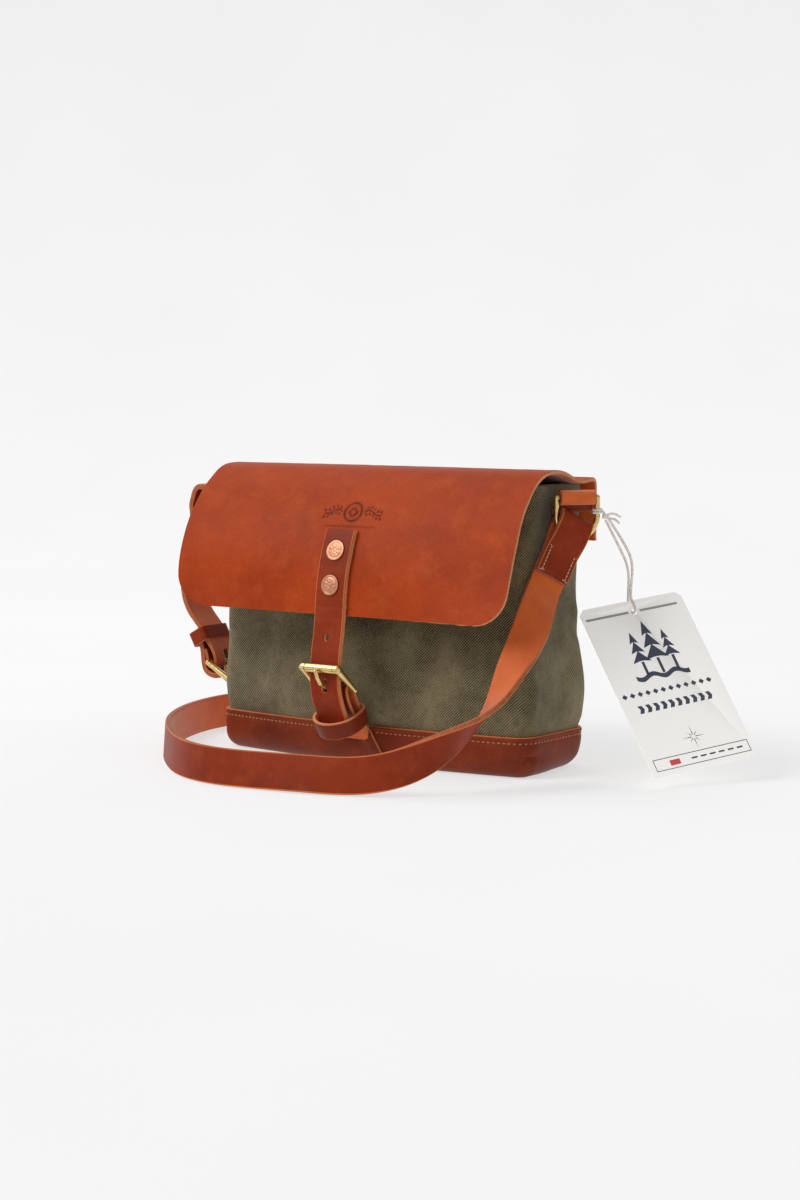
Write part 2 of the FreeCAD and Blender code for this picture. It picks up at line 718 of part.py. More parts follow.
def strap_section(at, along, wide):
    """Rectangle across the strap."""
    wide = wide - along * wide.dot(along)
    wide.normalize()
    thick = along.cross(wide) * (STRAP_THICK / 2)
    half = wide * (STRAP_WIDE / 2)
    corners = [at - half - thick, at + half - thick, at + half + thick, at - half + thick]
    return Part.makePolygon(corners + corners[:1])


def strap_sections(stations, per_span, first, last):
    """Sections along a smooth line through the stations, from station first to station last."""
    curve = Part.BSplineCurve()
    curve.interpolate([V(*point) for point, _ in stations])
    knots = curve.getKnots()
    sections = []
    for span in range(first, last):
        start, end = V(*stations[span][1]), V(*stations[span + 1][1])
        final = span == last - 1
        for step in range(per_span + (1 if final else 0)):
            share = step / per_span
            where = knots[span] + (knots[span + 1] - knots[span]) * share
            along = curve.tangent(where)[0]
            sections.append(strap_section(curve.value(where), along, start * (1 - share) + end * share))
    return sections


def below_fold(frame, patch):
    """Stations of the strap where it leaves a fold's patch; all but the last are inside the patch."""
    touch, wide, down, out = frame
    start = touch + down * patch - out * (STRAP_THICK / 2 + PLY_GAP)
    return [(tuple(start - down * before), tuple(wide)) for before in LEADS]


def shoulder_stations():
    """The whole long strap, from inside its folded end to its tip beyond the buckle."""
    return below_fold(end_frame(), END_PATCH) + SHOULDER + LEFT_TAIL


def shoulder_run(index):
    breaks = (len(LEADS) - 1,) + RUN_BREAKS
    sections = strap_sections(shoulder_stations(), 2, breaks[index], breaks[index + 1])
    return Part.makeLoft(sections, True, True)


def heel_fold(heel, bar, reach):
    """Leather folded round a heel bar, with a slot for the prong's eye."""
    grip = HEEL_R + FOLD_GRIP
    eye = rod(V(-STRAP_WIDE / 2, 0, 0), V(STRAP_WIDE / 2, 0, 0), grip + LEATHER)
    bore = rod(V(-30, 0, 0), V(30, 0, 0), grip)
    slot = box((-PRONG_EYE_HALF - 0.5, -PRONG_EYE_R - 0.6, -9), (PRONG_EYE_HALF + 0.5, 9, 9))
    return (set_at(eye, heel, bar, reach), set_at(bore, heel, bar, reach), set_at(slot, heel, bar, reach))


def buckle_strap():
    """Short strap from the left ring, folded round the heel bar of its buckle."""
    stations = below_fold(left_fold_frame(), LEFT_PATCH) + LEFT_END
    sections = strap_sections(stations, 3, len(LEADS) - 1, len(stations) - 1)
    run = Part.makeLoft(sections, True, True)
    eye, bore, slot = heel_fold(LEFT_HEEL, V(0, 1, 0), V(LEFT_REACH))
    return joined([run, eye]).cut(bore).cut(slot)


def strap_tail():
    """End of the shoulder strap, with the slot that its buckle's prong goes through."""
    stations = shoulder_stations()
    sections = strap_sections(stations, 3, RUN_BREAKS[-1], len(stations) - 1)
    tail = Part.makeLoft(sections, True, True)
    slot = box((-PRONG_SLOT_HALF, 3, -2), (PRONG_SLOT_HALF, 18, 14))
    return tail.cut(set_at(slot, LEFT_HEEL, V(0, 1, 0), V(LEFT_REACH)))


def strap_loop():
    """Loop that holds the end of the shoulder strap against the short strap."""
    def block(wide, deep, tall):
        return box((-wide, -tall / 2, -deep), (wide, tall / 2, deep))
    outer = block(LOOP_HALF_WIDE + LOOP_THICK, LOOP_HALF_DEEP + LOOP_THICK, LOOP_TALL)
    outer = outer.makeFillet(2.5, [edge for edge in outer.Edges if runs_along_y(edge)])
    inner = block(LOOP_HALF_WIDE, LOOP_HALF_DEEP, LOOP_TALL + 2)
    return set_at(outer.cut(inner), LOOP_AT, V(0, 1, 0), V(LOOP_ALONG))


def runs_along_y(edge):
    first, last = edge.Vertexes[0].Point, edge.Vertexes[-1].Point
    return abs(first.y - last.y) > 1


# ---- hang tag ------------------------------------------------------------------------------------------

def tag_axes():
    across = TAG_TOP_RIGHT - TAG_TOP_LEFT
    across.normalize()
    down = TAG_LOW_LEFT - TAG_TOP_LEFT
    down = down - across * down.dot(across)
    down.normalize()
    return across, down, across.cross(down)


def tag_hole():
    across, down, _ = tag_axes()
    return TAG_TOP_LEFT + across * (TAG_WIDE / 2) + down * TAG_HOLE_DOWN


def hang_tag():
    across, down, face = tag_axes()
    corner = TAG_CHAMFER
    plan = [(corner, 0), (TAG_WIDE - corner, 0), (TAG_WIDE, corner), (TAG_WIDE, TAG_TALL),
            (0, TAG_TALL), (0, corner)]
    points = [TAG_TOP_LEFT + across * x + down * y for x, y in plan]
    card = Part.Face(Part.makePolygon(points + points[:1])).extrude(face * TAG_THICK)
    hole = tag_hole()
    return card.cut(rod(hole - face * 3, hole + face * 3, TAG_HOLE_R))


def string_route():
    """Middle of the string: down from the knot, through the card's hole and back up to the knot."""
    across, down, face = tag_axes()
    hole = tag_hole()
    near = [
        hole - down * 10 + face * 1.5,
        hole - down * 3.5 + face * 3.4,
        hole + down * 0.6 + face * 2.2,
        hole + down * 0.6 - face * 2.6,
        hole - down * 3.5 - face * 4.2,
        hole - down * 10 - face * 3.0,
    ]
    return [KNOT + V(0.4, 0.0, -2.6), KNOT + V(4.6, 9.0, -19.0), KNOT + V(8.2, 19.5, -37.0)] + near + [
        KNOT + V(9.0, 23.5, -33.0), KNOT + V(6.2, 14.5, -18.0), KNOT + V(1.6, 2.6, -2.2)]


def tag_string():
    return tube(string_route(), STRING_R, "tag_string")


def tag_knot():
    """Knot beside the ring's wire, two turns of string round the wire and two short ends."""
    along = V(math.cos(math.radians(RIGHT_TURN)), math.sin(math.radians(RIGHT_TURN)), 0)
    turn_r = RING_WIRE_R + STRING_R + 0.1
    wire_at = RIGHT_BAR + along * RING_R - V(0, 0, RING_LEG - KNOT_UP)
    beside = KNOT - wire_at
    beside.z = 0
    beside.normalize()
    pieces = [ball(KNOT, KNOT_R), rod(wire_at + beside * (turn_r + 0.4), KNOT, STRING_R + 0.2)]
    for lift in (-0.8 * STRING_R, 0.8 * STRING_R):
        pieces.append(Part.makeTorus(turn_r, STRING_R, wire_at + V(0, 0, lift)))
    pieces.append(chain([KNOT, KNOT + V(5, 3, 1.5), KNOT + V(9.5, 5, -0.5)], STRING_R))
    pieces.append(chain([KNOT, KNOT + V(4, 4, -1.5), KNOT + V(7, 7, -5)], STRING_R))
    return joined(pieces)


PARTS = {
    "base_leather_left": base_leather_left,
    "base_leather_right": base_leather_right,
    "base_board": base_board,
    "canvas_front": canvas_front,
    "canvas_back": canvas_back,
    "lining": lining,
    "inner_pocket": inner_pocket,
    "flap_back": flap_back,
    "flap": flap,
    "closing_strap": closing_strap,
    "closing_strap_tail": closing_strap_tail,
    "rivet_upper": lambda: rivet(RIVET_Z[0]),
    "rivet_lower": lambda: rivet(RIVET_Z[1]),
    "rivet_burr_upper": lambda: burr(RIVET_Z[0]),
    "rivet_burr_lower": lambda: burr(RIVET_Z[1]),
    "front_buckle_frame": lambda: front_buckle(buckle_frame),
    "front_buckle_roller": lambda: front_buckle(buckle_roller),
    "front_buckle_prong": lambda: front_buckle(buckle_prong),
    "front_keeper": front_keeper,
    "ring_tab_right": lambda: ring_tab(RIGHT_BAR, RIGHT_TURN, 1),
    "ring_tab_left": lambda: ring_tab(LEFT_BAR, LEFT_TURN, -1),
    "ring_right": lambda: d_ring(RIGHT_TURN, 0, RIGHT_BAR),
    "ring_left": lambda: d_ring(LEFT_TURN, LEFT_TILT, LEFT_BAR),
    "strap_end_right": strap_end_right,
    "strap_fold_left": left_fold,
    "buckle_strap": buckle_strap,
    "strap_buckle_frame": lambda: strap_buckle(buckle_frame),
    "strap_buckle_roller": lambda: strap_buckle(buckle_roller),
    "strap_buckle_prong": lambda: strap_buckle(buckle_prong),
    "strap_loop": strap_loop,
    "shoulder_strap_tail": strap_tail,
    "hang_tag": hang_tag,
    "tag_string": tag_string,
    "tag_knot": tag_knot,
}
for number in range(len(RUN_BREAKS)):
    PARTS["shoulder_strap_%d" % (number + 1)] = lambda n=number: shoulder_run(n)


def main():
    os.makedirs("parts", exist_ok=True)
    for name, make in PARTS.items():
        shape = make()
        if len(shape.Solids) == 1:
            shape = shape.Solids[0]
        print(name, shape.ShapeType, len(shape.Solids), "valid", shape.isValid(), round(shape.Volume, 1))
        shape.exportStep("parts/%s.step" % name)


main()
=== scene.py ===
import math

import bmesh
import bpy
import numpy as np
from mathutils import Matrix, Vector


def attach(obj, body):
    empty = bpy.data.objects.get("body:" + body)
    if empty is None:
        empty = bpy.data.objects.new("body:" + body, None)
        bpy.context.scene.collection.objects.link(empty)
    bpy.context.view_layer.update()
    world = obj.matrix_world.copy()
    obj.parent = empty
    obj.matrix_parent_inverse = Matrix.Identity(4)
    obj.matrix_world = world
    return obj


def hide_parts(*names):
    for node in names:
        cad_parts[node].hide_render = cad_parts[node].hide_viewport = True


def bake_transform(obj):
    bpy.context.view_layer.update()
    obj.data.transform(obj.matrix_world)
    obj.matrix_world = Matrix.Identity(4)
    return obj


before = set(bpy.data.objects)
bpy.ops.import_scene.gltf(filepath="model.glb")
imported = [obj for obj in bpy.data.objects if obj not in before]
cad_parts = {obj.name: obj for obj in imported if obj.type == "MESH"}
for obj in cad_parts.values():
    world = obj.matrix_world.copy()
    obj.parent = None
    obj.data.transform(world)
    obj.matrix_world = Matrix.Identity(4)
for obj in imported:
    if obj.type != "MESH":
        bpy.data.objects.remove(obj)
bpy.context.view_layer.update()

MM = 0.001
X_AXIS, Y_AXIS, Z_AXIS = np.eye(3)

# ---- sizes that the CAD source states --------------------------------------------------------------
HALF_WIDTH = 134.5        # to the nominal outline, between canvas and leather
BACK_Y = 38.5
CORNER_R = 14.0
BAG_TOP = 201.0
TAPER_FROM = 95.0         # height where the front starts to lean back
FRONT_CORNER = (-38.5, -33.0)    # y of the front's corners below that height and at the top
FRONT_BULGE = (-51.0, -35.0)     # y of the front's middle, likewise
LEATHER = 2.8
CANVAS = 2.2
CANVAS_OUT = -0.8         # canvas face, outward from the bag's nominal outline
BASE_OUT = 2.0
BASE_TOP = 29.0
BASE_EDGE_R = 12.0
OVERLAP_TOP_X = 11.0
OVERLAP_LOW_X = 30.0
STRAP_WIDE = 25.0
STRAP_THICK = 4.0
FLAP_HALF = 141.0
FLAP_CORNER_R = 22.0
HEEL = np.array([0.0, -76.0, 57.0])
LEFT_HEEL = np.array([-164.5, -4.0, 58.5])
RING_WIRE_R = 1.9
RING_R = 15.1
RING_LEG = 12.5
RIGHT_BAR = np.array([150.5, -1.2, 192.2])
RIGHT_TURN = math.radians(55.0)
LEFT_BAR = np.array([-153.0, -8.0, 195.5])
LEFT_TILT = math.radians(-53.0)
KNOT = np.array([163.6, 14.4, 179.0])

# ---- camera and light ------------------------------------------------------------------------------
AZIMUTH = math.radians(36.0)
ELEVATION = math.radians(5.35)
TARGET = (0.1, 0.0, 113.5)
DISTANCE = 1786.7
LENS = 74.21
SENSOR = 36.0             # along the frame's long side


# ---- numbers and meshes ----------------------------------------------------------------------------

def unit(v):
    v = np.asarray(v, float)
    return v / np.maximum(np.linalg.norm(v, axis=-1, keepdims=True), 1e-12)


def smooth(x):
    x = np.clip(x, 0.0, 1.0)
    return x * x * (3 - 2 * x)


def hill(x, middle, width):
    return np.exp(-(((x - middle) / width) ** 2))


def ripple(a, b, seed, waves=4):
    """Smooth uneven surface between about -1 and 1, for coordinates counted in its own wavelengths."""
    random = np.random.default_rng(seed)
    total = 0.0
    for _ in range(waves):
        turn, phase, length = random.uniform(0, 2 * math.pi), random.uniform(0, 2 * math.pi), random.uniform(0.7, 1.4)
        total = total + np.sin(2 * math.pi * (a * math.cos(turn) + b * math.sin(turn)) / length + phase)
    return total / waves


def cubic(rows, step, samples=30):
    """Rows spread evenly along a natural cubic spline through the given rows; columns after the third ride along."""
    p = np.array(rows, float)
    t = lengths(p[:, :3])
    h, n = np.diff(t), len(t)
    a, r = np.eye(n), np.zeros_like(p)
    for i in range(1, n - 1):
        a[i, i - 1:i + 2] = h[i - 1], 2 * (h[i - 1] + h[i]), h[i]
        r[i] = 6 * ((p[i + 1] - p[i]) / h[i] - (p[i] - p[i - 1]) / h[i - 1])
    m = np.linalg.solve(a, r)
    x = np.linspace(0, t[-1], samples * n)
    k = np.clip(np.searchsorted(t, x) - 1, 0, n - 2)
    u, v, w = (x - t[k])[:, None], (t[k + 1] - x)[:, None], h[k][:, None]
    dense = (m[k] * v ** 3 + m[k + 1] * u ** 3) / (6 * w)
    dense += (p[k] / w - m[k] * w / 6) * v + (p[k + 1] / w - m[k + 1] * w / 6) * u
    return spread(dense, step)


def spread(dense, step):
    """Rows at even distances along a dense line."""
    s = lengths(dense[:, :3])
    at = np.linspace(0, s[-1], max(2, int(round(s[-1] / step)) + 1))
    return np.stack([np.interp(at, s, dense[:, c]) for c in range(dense.shape[1])], 1)


def lengths(points):
    """Distance along a line to each of its points."""
    return np.r_[0, np.cumsum(np.linalg.norm(np.diff(points, axis=0), axis=1))]


def placed(name, data):
    thing = bpy.data.objects.new(name, data)
    bpy.context.scene.collection.objects.link(thing)
    return thing


def build(name, points, faces, materials, zones=None, uvs=None, solid=True, sharp=42):
    """Mesh object from points in millimetres. solid turns its faces outward; sharp is an angle in degrees."""
    mesh = bpy.data.meshes.new(name)
    mesh.from_pydata((np.asarray(points) * MM).tolist(), [], faces)
    for finish in materials:
        mesh.materials.append(finish)
    if zones is not None:
        mesh.polygons.foreach_set("material_index", np.asarray(zones, np.int32))
    if uvs is not None:
        mesh.uv_layers.new(name="UVMap").data.foreach_set("uv", np.asarray(uvs, np.float32).ravel())
    if solid:
        bm = bmesh.new()
        bm.from_mesh(mesh)
        bmesh.ops.recalc_face_normals(bm, faces=bm.faces)
        bm.to_mesh(mesh)
        bm.free()
    mesh.shade_smooth()
    mesh.set_sharp_from_angle(angle=math.radians(sharp))
    return placed(name, mesh)


def loft(name, rings, materials, zones, closed=False, cap=0, sharp=42):
    """Tube of any section: rings[i, j] is point j round section i. zones says which finish each face takes."""
    n, m = rings.shape[:2]
    last = n if closed else n - 1
    round_u = lengths(np.vstack([rings[0], rings[0, :1]])) * MM
    along_v = lengths(np.vstack([rings, rings[:1]]).mean(1)) * MM
    zones = np.broadcast_to(zones, (last, m))
    faces, used, uvs = [], [], []
    for i in range(last):
        k = (i + 1) % n
        for j in range(m):
            q = (j + 1) % m
            faces.append((i * m + j, i * m + q, k * m + q, k * m + j))
            used.append(int(zones[i, j]))
            uvs += [(round_u[j], along_v[i]), (round_u[j + 1], along_v[i]),
                    (round_u[j + 1], along_v[i + 1]), (round_u[j], along_v[i + 1])]
    if not closed:
        for i in (0, n - 1):
            faces.append(tuple(i * m + j for j in range(m)))
            used.append(cap)
            uvs += [tuple((rings[i, j] - rings[i, 0])[:2] * MM) for j in range(m)]
    return build(name, rings.reshape(-1, 3), faces, materials, used, uvs, sharp=sharp)


def strap_profile(columns=8, radius=0.8):
    """Section of a strap of width 1 and thickness 1 as (across, through, inset across, inset through) and its zones.

    Zones: 0 grain side, 1 rounded rim, 2 raw edge, 3 flesh side.
    """
    half = [(x, 0.5, -np.sign(x) * radius * (abs(x) == 0.5), 0) for x in np.linspace(-0.5, 0.5, columns + 1)]
    half += [(0.5, 0.5, -0.25 * radius, -0.25 * radius), (0.5, 0.5, 0, -radius), (0.5, 0, 0.12, 0),
             (0.5, -0.5, 0, radius), (0.5, -0.5, -0.25 * radius, 0.25 * radius)]
    edge = [1, 1, 2, 2, 1, 1]
    return np.vstack([half, -np.array(half)]), [0] * columns + edge + [3] * columns + edge


def ribbon(name, rows, materials, grain, closed=False, wander=0.12, columns=8, seed=1, cup=0.0):
    """Strap along rows of place, width direction, width and thickness.

    grain is +1 or -1, the side of its smooth face. wander is how far its edges stray, cup how far they stand up.
    """
    line, wide = rows[:, :3], rows[:, 3:6]
    if closed:
        along = unit(np.roll(line, -1, 0) - np.roll(line, 1, 0))
    else:
        along = unit(np.gradient(line, axis=0))
    wide = unit(wide - along * np.sum(wide * along, axis=1, keepdims=True))
    through = np.cross(along, wide) * grain
    profile, zones = strap_profile(columns)
    small = np.minimum(rows[:, 7] / STRAP_THICK, 1.0)[:, None]
    a = profile[None, :, 0] * rows[:, 6:7] + profile[None, :, 2] * small
    b = profile[None, :, 1] * rows[:, 7:8] + profile[None, :, 3] * small
    side = np.sign(profile[:, 0]) * (np.abs(profile[:, 0]) > 0.4)
    if not closed:
        a = a + wander * side * ripple(lengths(line)[:, None] / 40.0, side[None, :] * 3.0, seed)
    b = b + cup * (np.abs(profile[None, :, 0]) * 2) ** 2
    rings = line[:, None, :] + wide[:, None, :] * a[..., None] + through[:, None, :] * b[..., None]
    return loft(name, rings, materials, zones, closed, 2)


def row(place, wide, width=STRAP_WIDE, thick=STRAP_THICK):
    return (*place, *wide, width, thick)


def grid_faces(n, m, first=0, flip=False):
    faces = []
    for i in range(n - 1):
        for j in range(m - 1):
            a, b, c, d = first + i * m + j, first + i * m + j + 1, first + (i + 1) * m + j + 1, first + (i + 1) * m + j
            faces.append((a, d, c, b) if flip else (a, b, c, d))
    return faces


def grid_normals(points):
    return unit(np.cross(np.gradient(points, axis=1), np.gradient(points, axis=0)))


def sheet(name, outer, thick, materials, uv, flip=1, rim=0.6, sharp=50):
    """Closed sheet of leather or card whose outer face is a grid of points. Zones: 0 outer, 1 rim, 2 edge, 3 inner."""
    n, m = outer.shape[:2]
    normal = grid_normals(outer) * flip
    inner = outer - normal * thick
    index = [(0, j) for j in range(m)] + [(i, m - 1) for i in range(1, n)]
    index += [(n - 1, j) for j in range(m - 2, -1, -1)] + [(i, 0) for i in range(n - 2, 0, -1)]
    rows_, cols = np.array(index).T
    near = np.clip(rows_, 1, n - 2), np.clip(cols, 1, m - 2)
    inward = unit(outer[near] - outer[rows_, cols])
    top, low = outer.copy(), inner.copy()
    top[rows_, cols] += inward * rim * 0.7
    low[rows_, cols] += inward * rim * 0.7
    ring_b = outer[rows_, cols] - normal[rows_, cols] * rim
    ring_c = inner[rows_, cols] + normal[rows_, cols] * rim
    count, size = len(index), n * m
    points = np.vstack([top.reshape(-1, 3), low.reshape(-1, 3), ring_b, ring_c])
    flat = rows_ * m + cols
    faces = grid_faces(n, m)
    zones = [0] * len(faces)
    back = grid_faces(n, m, size, True)
    faces += back
    zones += [3] * len(back)
    for first, second, zone in ((flat, 2 * size + np.arange(count), 1),
                                (2 * size + np.arange(count), 2 * size + count + np.arange(count), 2),
                                (2 * size + count + np.arange(count), size + flat, 1)):
        for k in range(count):
            q = (k + 1) % count
            faces.append((int(first[k]), int(first[q]), int(second[q]), int(second[k])))
            zones.append(zone)
    place = np.vstack([uv.reshape(-1, 2), uv.reshape(-1, 2), uv[rows_, cols], uv[rows_, cols]]) * MM
    uvs = [place[v] for face in faces for v in face]
    return build(name, points, faces, materials, zones, uvs, sharp=sharp)


def edit(piece, work):
    bm = bmesh.new()
    bm.from_mesh(piece.data)
    work(bm)
    bm.to_mesh(piece.data)
    bm.free()


def slice_off(piece, place, normal, zone):
    """Cut away what lies beyond a plane and close the cut with the finish of that zone."""
    def work(bm):
        found = bmesh.ops.bisect_plane(bm, geom=bm.verts[:] + bm.edges[:] + bm.faces[:], dist=1e-8,
                                       plane_co=np.array(place) * MM, plane_no=normal, clear_outer=True)
        edges = [e for e in found["geom_cut"] if isinstance(e, bmesh.types.BMEdge)]
        for face in bmesh.ops.holes_fill(bm, edges=edges, sides=0)["faces"]:
            face.material_index = zone
            for e in face.edges:
                e.smooth = False
    edit(piece, work)


def punch(piece, points, faces, zone):
    """Cut a closed shape out of a piece; the walls of the cut take the finish of that zone."""
    cutter = build("cutter", points, faces, list(piece.data.materials), [zone] * len(faces))
    change = piece.modifiers.new("punch", "BOOLEAN")
    change.operation, change.object, change.solver = "DIFFERENCE", cutter, "EXACT"
    graph = bpy.context.evaluated_depsgraph_get()
    mesh = bpy.data.meshes.new_from_object(piece.evaluated_get(graph))
    piece.modifiers.clear()
    piece.data = mesh
    bpy.data.objects.remove(cutter)


def prism_faces(n, first=0):
    """Faces of a prism whose two outlines of n points follow each other from index first."""
    ends = [tuple(range(first, first + n)), tuple(range(first + 2 * n - 1, first + n - 1, -1))]
    return ends + [(first + k, first + (k + 1) % n, first + n + (k + 1) % n, first + n + k) for k in range(n)]


def prism_between(start, end, outline, up):
    """Closed prism from start to end with a plan outline of (sideways, up) points, for cutting holes."""
    start, end = np.asarray(start, float), np.asarray(end, float)
    along = unit(end - start)
    side = unit(np.cross(along, up))
    up = np.cross(side, along)
    plan = [side * x + up * y for x, y in outline]
    return [start + p for p in plan] + [end + p for p in plan], prism_faces(len(plan))


def bar_shape(x0, y0, x1, y1):
    return [(x0, y0), (x1, y0), (x1, y1), (x0, y1)]


def circle(radius, count, tall=1.0):
    return [(radius * math.cos(2 * math.pi * k / count), radius * tall * math.sin(2 * math.pi * k / count))
            for k in range(count)]


def rope(name, line, radius, materials, sides=10, closed=False, sharp=60):
    """Round cord along a line, with frames carried along it so that it doesn't twist."""
    line = np.asarray(line, float)
    along = unit(np.roll(line, -1, 0) - np.roll(line, 1, 0)) if closed else unit(np.gradient(line, axis=0))
    side = unit(np.cross(along[0], [0.3, 0.5, 0.8]))
    rings, radii = [], np.broadcast_to(radius, len(line))
    for place, way, size in zip(line, along, radii):
        side = unit(side - way * (side @ way))
        up = np.cross(way, side)
        rings.append([place + size * (side * math.cos(a) + up * math.sin(a))
                      for a in np.linspace(0, 2 * math.pi, sides, endpoint=False)])
    return loft(name, np.array(rings), materials, 0, closed, sharp=sharp)


def joined(name, pieces):
    """One piece from several that share their finishes."""
    bm = bmesh.new()
    for piece in pieces:
        bm.from_mesh(piece.data)
    mesh = bpy.data.meshes.new(name)
    bm.to_mesh(mesh)
    bm.free()
    for finish in pieces[0].data.materials:
        mesh.materials.append(finish)
    for piece in pieces:
        bpy.data.objects.remove(piece)
    return placed(name, mesh)


def stitches(name, seams, thread, pitch, gap, radius):
    """Rows of stitches, each a short length of thread that dips in at its ends. A seam is (line, outward normals)."""
    rise, sides = (-0.9, 0.25, 0.6, 0.6, 0.25, -0.9), 6
    points, faces = [], []
    for line, out in seams:
        both = spread(np.hstack([line, out]), pitch)
        for a, b in zip(both[:-1], both[1:]):
            way = unit(b[:3] - a[:3])
            normal = unit((a + b)[3:])
            side = np.cross(way, normal)
            start, end = a[:3] + way * gap / 2, b[:3] - way * gap / 2
            base = len(points)
            for k, lift in enumerate(rise):
                centre = start + (end - start) * k / (len(rise) - 1) + normal * lift * radius
                for q in range(sides):
                    angle = 2 * math.pi * q / sides
                    points.append(centre + radius * (side * math.cos(angle) + normal * math.sin(angle)))
            for k in range(len(rise) - 1):
                for q in range(sides):
                    faces.append((base + k * sides + q, base + k * sides + (q + 1) % sides,
                                  base + (k + 1) * sides + (q + 1) % sides, base + (k + 1) * sides + q))
            faces.append(tuple(base + q for q in range(sides)))
            faces.append(tuple(base + (len(rise) - 1) * sides + q for q in range(sides)))
    return build(name, points, faces, [thread])


# ---- finishes --------------------------------------------------------------------------------------

class Finish:
    """A procedural material, and short calls for the nodes that feed its shader."""

    def __init__(self, name, **sockets):
        self.material = bpy.data.materials.new(name)
        self.material.use_nodes = True
        self.tree = self.material.node_tree
        self.shader = self.tree.nodes["Principled BSDF"]
        for socket, value in sockets.items():
            self.shader.inputs[socket.replace("_", " ")].default_value = value
        self.last_bump = None

    def node(self, kind, inputs=(), **settings):
        made = self.tree.nodes.new("ShaderNode" + kind)
        for key, value in settings.items():
            setattr(made, key, value)
        for key, value in dict(inputs).items():
            if isinstance(value, bpy.types.NodeSocket):
                self.tree.links.new(value, made.inputs[key])
            else:
                made.inputs[key].default_value = value
        return made

    def place(self, kind="Object", scale=(1, 1, 1)):
        spot = self.node("TexCoord").outputs[kind]
        return self.node("VectorMath", {0: spot, 1: scale}, operation="MULTIPLY").outputs[0]

    def noise(self, scale, detail=3.0, rough=0.55, stretch=(1, 1, 1), kind="Object"):
        return self.node("TexNoise", {"Vector": self.place(kind, stretch), "Scale": scale, "Detail": detail,
                                      "Roughness": rough}).outputs["Fac"]

    def cells(self, scale, feature="F1"):
        return self.node("TexVoronoi", {"Vector": self.place(), "Scale": scale}, feature=feature).outputs["Distance"]

    def math(self, kind, a, b=0.0, c=0.0):
        return self.node("Math", {0: a, 1: b, 2: c}, operation=kind).outputs[0]

    def remap(self, value, low, high, to_low=0.0, to_high=1.0):
        return self.node("MapRange", {"Value": value, "From Min": low, "From Max": high, "To Min": to_low,
                                      "To Max": to_high}).outputs[0]

    def mix(self, share, a, b, blend="MIX"):
        return self.node("Mix", {0: share, 6: a, 7: b}, data_type="RGBA", blend_type=blend).outputs[2]

    def bump(self, height, distance, strength=1.0):
        inputs = {"Height": height, "Distance": distance * MM, "Strength": strength}
        if self.last_bump:
            inputs["Normal"] = self.last_bump
        self.last_bump = self.node("Bump", inputs).outputs[0]

    def done(self, colour, roughness=None):
        self.tree.links.new(colour, self.shader.inputs["Base Color"])
        if roughness is not None:
            self.tree.links.new(roughness, self.shader.inputs["Roughness"])
        if self.last_bump:
            self.tree.links.new(self.last_bump, self.shader.inputs["Normal"])
        return self.material


def rgb(red, green, blue):
    """Colour as a picture states it, 0 to 255, turned into the linear values that shaders use."""
    def linear(c):
        c /= 255.0
        return c / 12.92 if c <= 0.04045 else ((c + 0.055) / 1.055) ** 2.4
    return linear(red), linear(green), linear(blue), 1.0


def smooth_leather(name, dark, middle, light, shine=0.42, grain=1.0, gloss=0.14):
    """Waxed hide: cloudy dye, pores, fine creases, faint scuffs and rubbed lighter marks."""
    f = Finish(name, Specular_IOR_Level=gloss)
    cloud = f.noise(17, 4, 0.6)
    patch = f.noise(61, 3, 0.6)
    colour = f.mix(f.remap(cloud, 0.22, 0.60), dark, middle)
    colour = f.mix(f.math("MULTIPLY", f.remap(patch, 0.5, 0.74), 0.35), colour, light)
    pores = f.cells(1150)
    colour = f.mix(f.remap(pores, 0.34, 0.06, 0.0, 0.20), colour, dark)
    scuff = f.math("MULTIPLY", f.remap(f.noise(95, 5, 0.65, (1, 1, 0.08)), 0.66, 0.74), 0.35)
    colour = f.mix(scuff, colour, light)
    fleck = f.remap(f.noise(520, 2, 0.5), 0.3, 0.7, 0.93, 1.07)
    colour = f.mix(1.0, colour, f.node("CombineXYZ", {0: fleck, 1: fleck, 2: fleck}).outputs[0], "MULTIPLY")
    f.bump(f.noise(38, 3, 0.6), 0.9 * grain, 0.22)
    f.bump(f.cells(620, "DISTANCE_TO_EDGE"), 0.10 * grain, 0.30)
    f.bump(pores, 0.10 * grain, 0.28)
    f.bump(f.noise(1700, 2, 0.6), 0.05, 0.25)
    rough = f.math("ADD", f.remap(cloud, 0.3, 0.7, shine - 0.04, shine + 0.07), f.remap(patch, 0.4, 0.7, 0.0, 0.05))
    return f.done(colour, rough)


def raw_edge(name, dark, light, layers=900.0):
    """Cut edge of leather: packed fibres, darker in lines, uneven."""
    f = Finish(name, Specular_IOR_Level=0.25, Sheen_Weight=0.15)
    fibre = f.noise(layers, 4, 0.7)
    coarse = f.noise(150, 3, 0.6)
    colour = f.mix(f.remap(fibre, 0.3, 0.7), dark, light)
    colour = f.mix(f.math("MULTIPLY", f.remap(coarse, 0.45, 0.7), 0.5), colour, dark)
    f.bump(fibre, 0.25, 0.5)
    f.bump(f.noise(420, 3, 0.7), 0.3, 0.35)
    return f.done(colour, f.remap(fibre, 0.2, 0.8, 0.62, 0.85))


def flesh_side(name, dark, light):
    """Back of the hide: brighter, dry and finely napped."""
    f = Finish(name, Specular_IOR_Level=0.28, Sheen_Weight=0.35, Sheen_Roughness=0.5)
    cloud = f.noise(30, 4, 0.65)
    nap = f.noise(1300, 4, 0.75)
    colour = f.mix(f.remap(cloud, 0.3, 0.7), dark, light)
    colour = f.mix(f.remap(nap, 0.35, 0.7, 0.0, 0.28), colour, dark)
    f.bump(nap, 0.22, 0.45)
    f.bump(f.noise(260, 4, 0.7), 0.3, 0.22)
    return f.done(colour, f.remap(cloud, 0.3, 0.7, 0.55, 0.72))


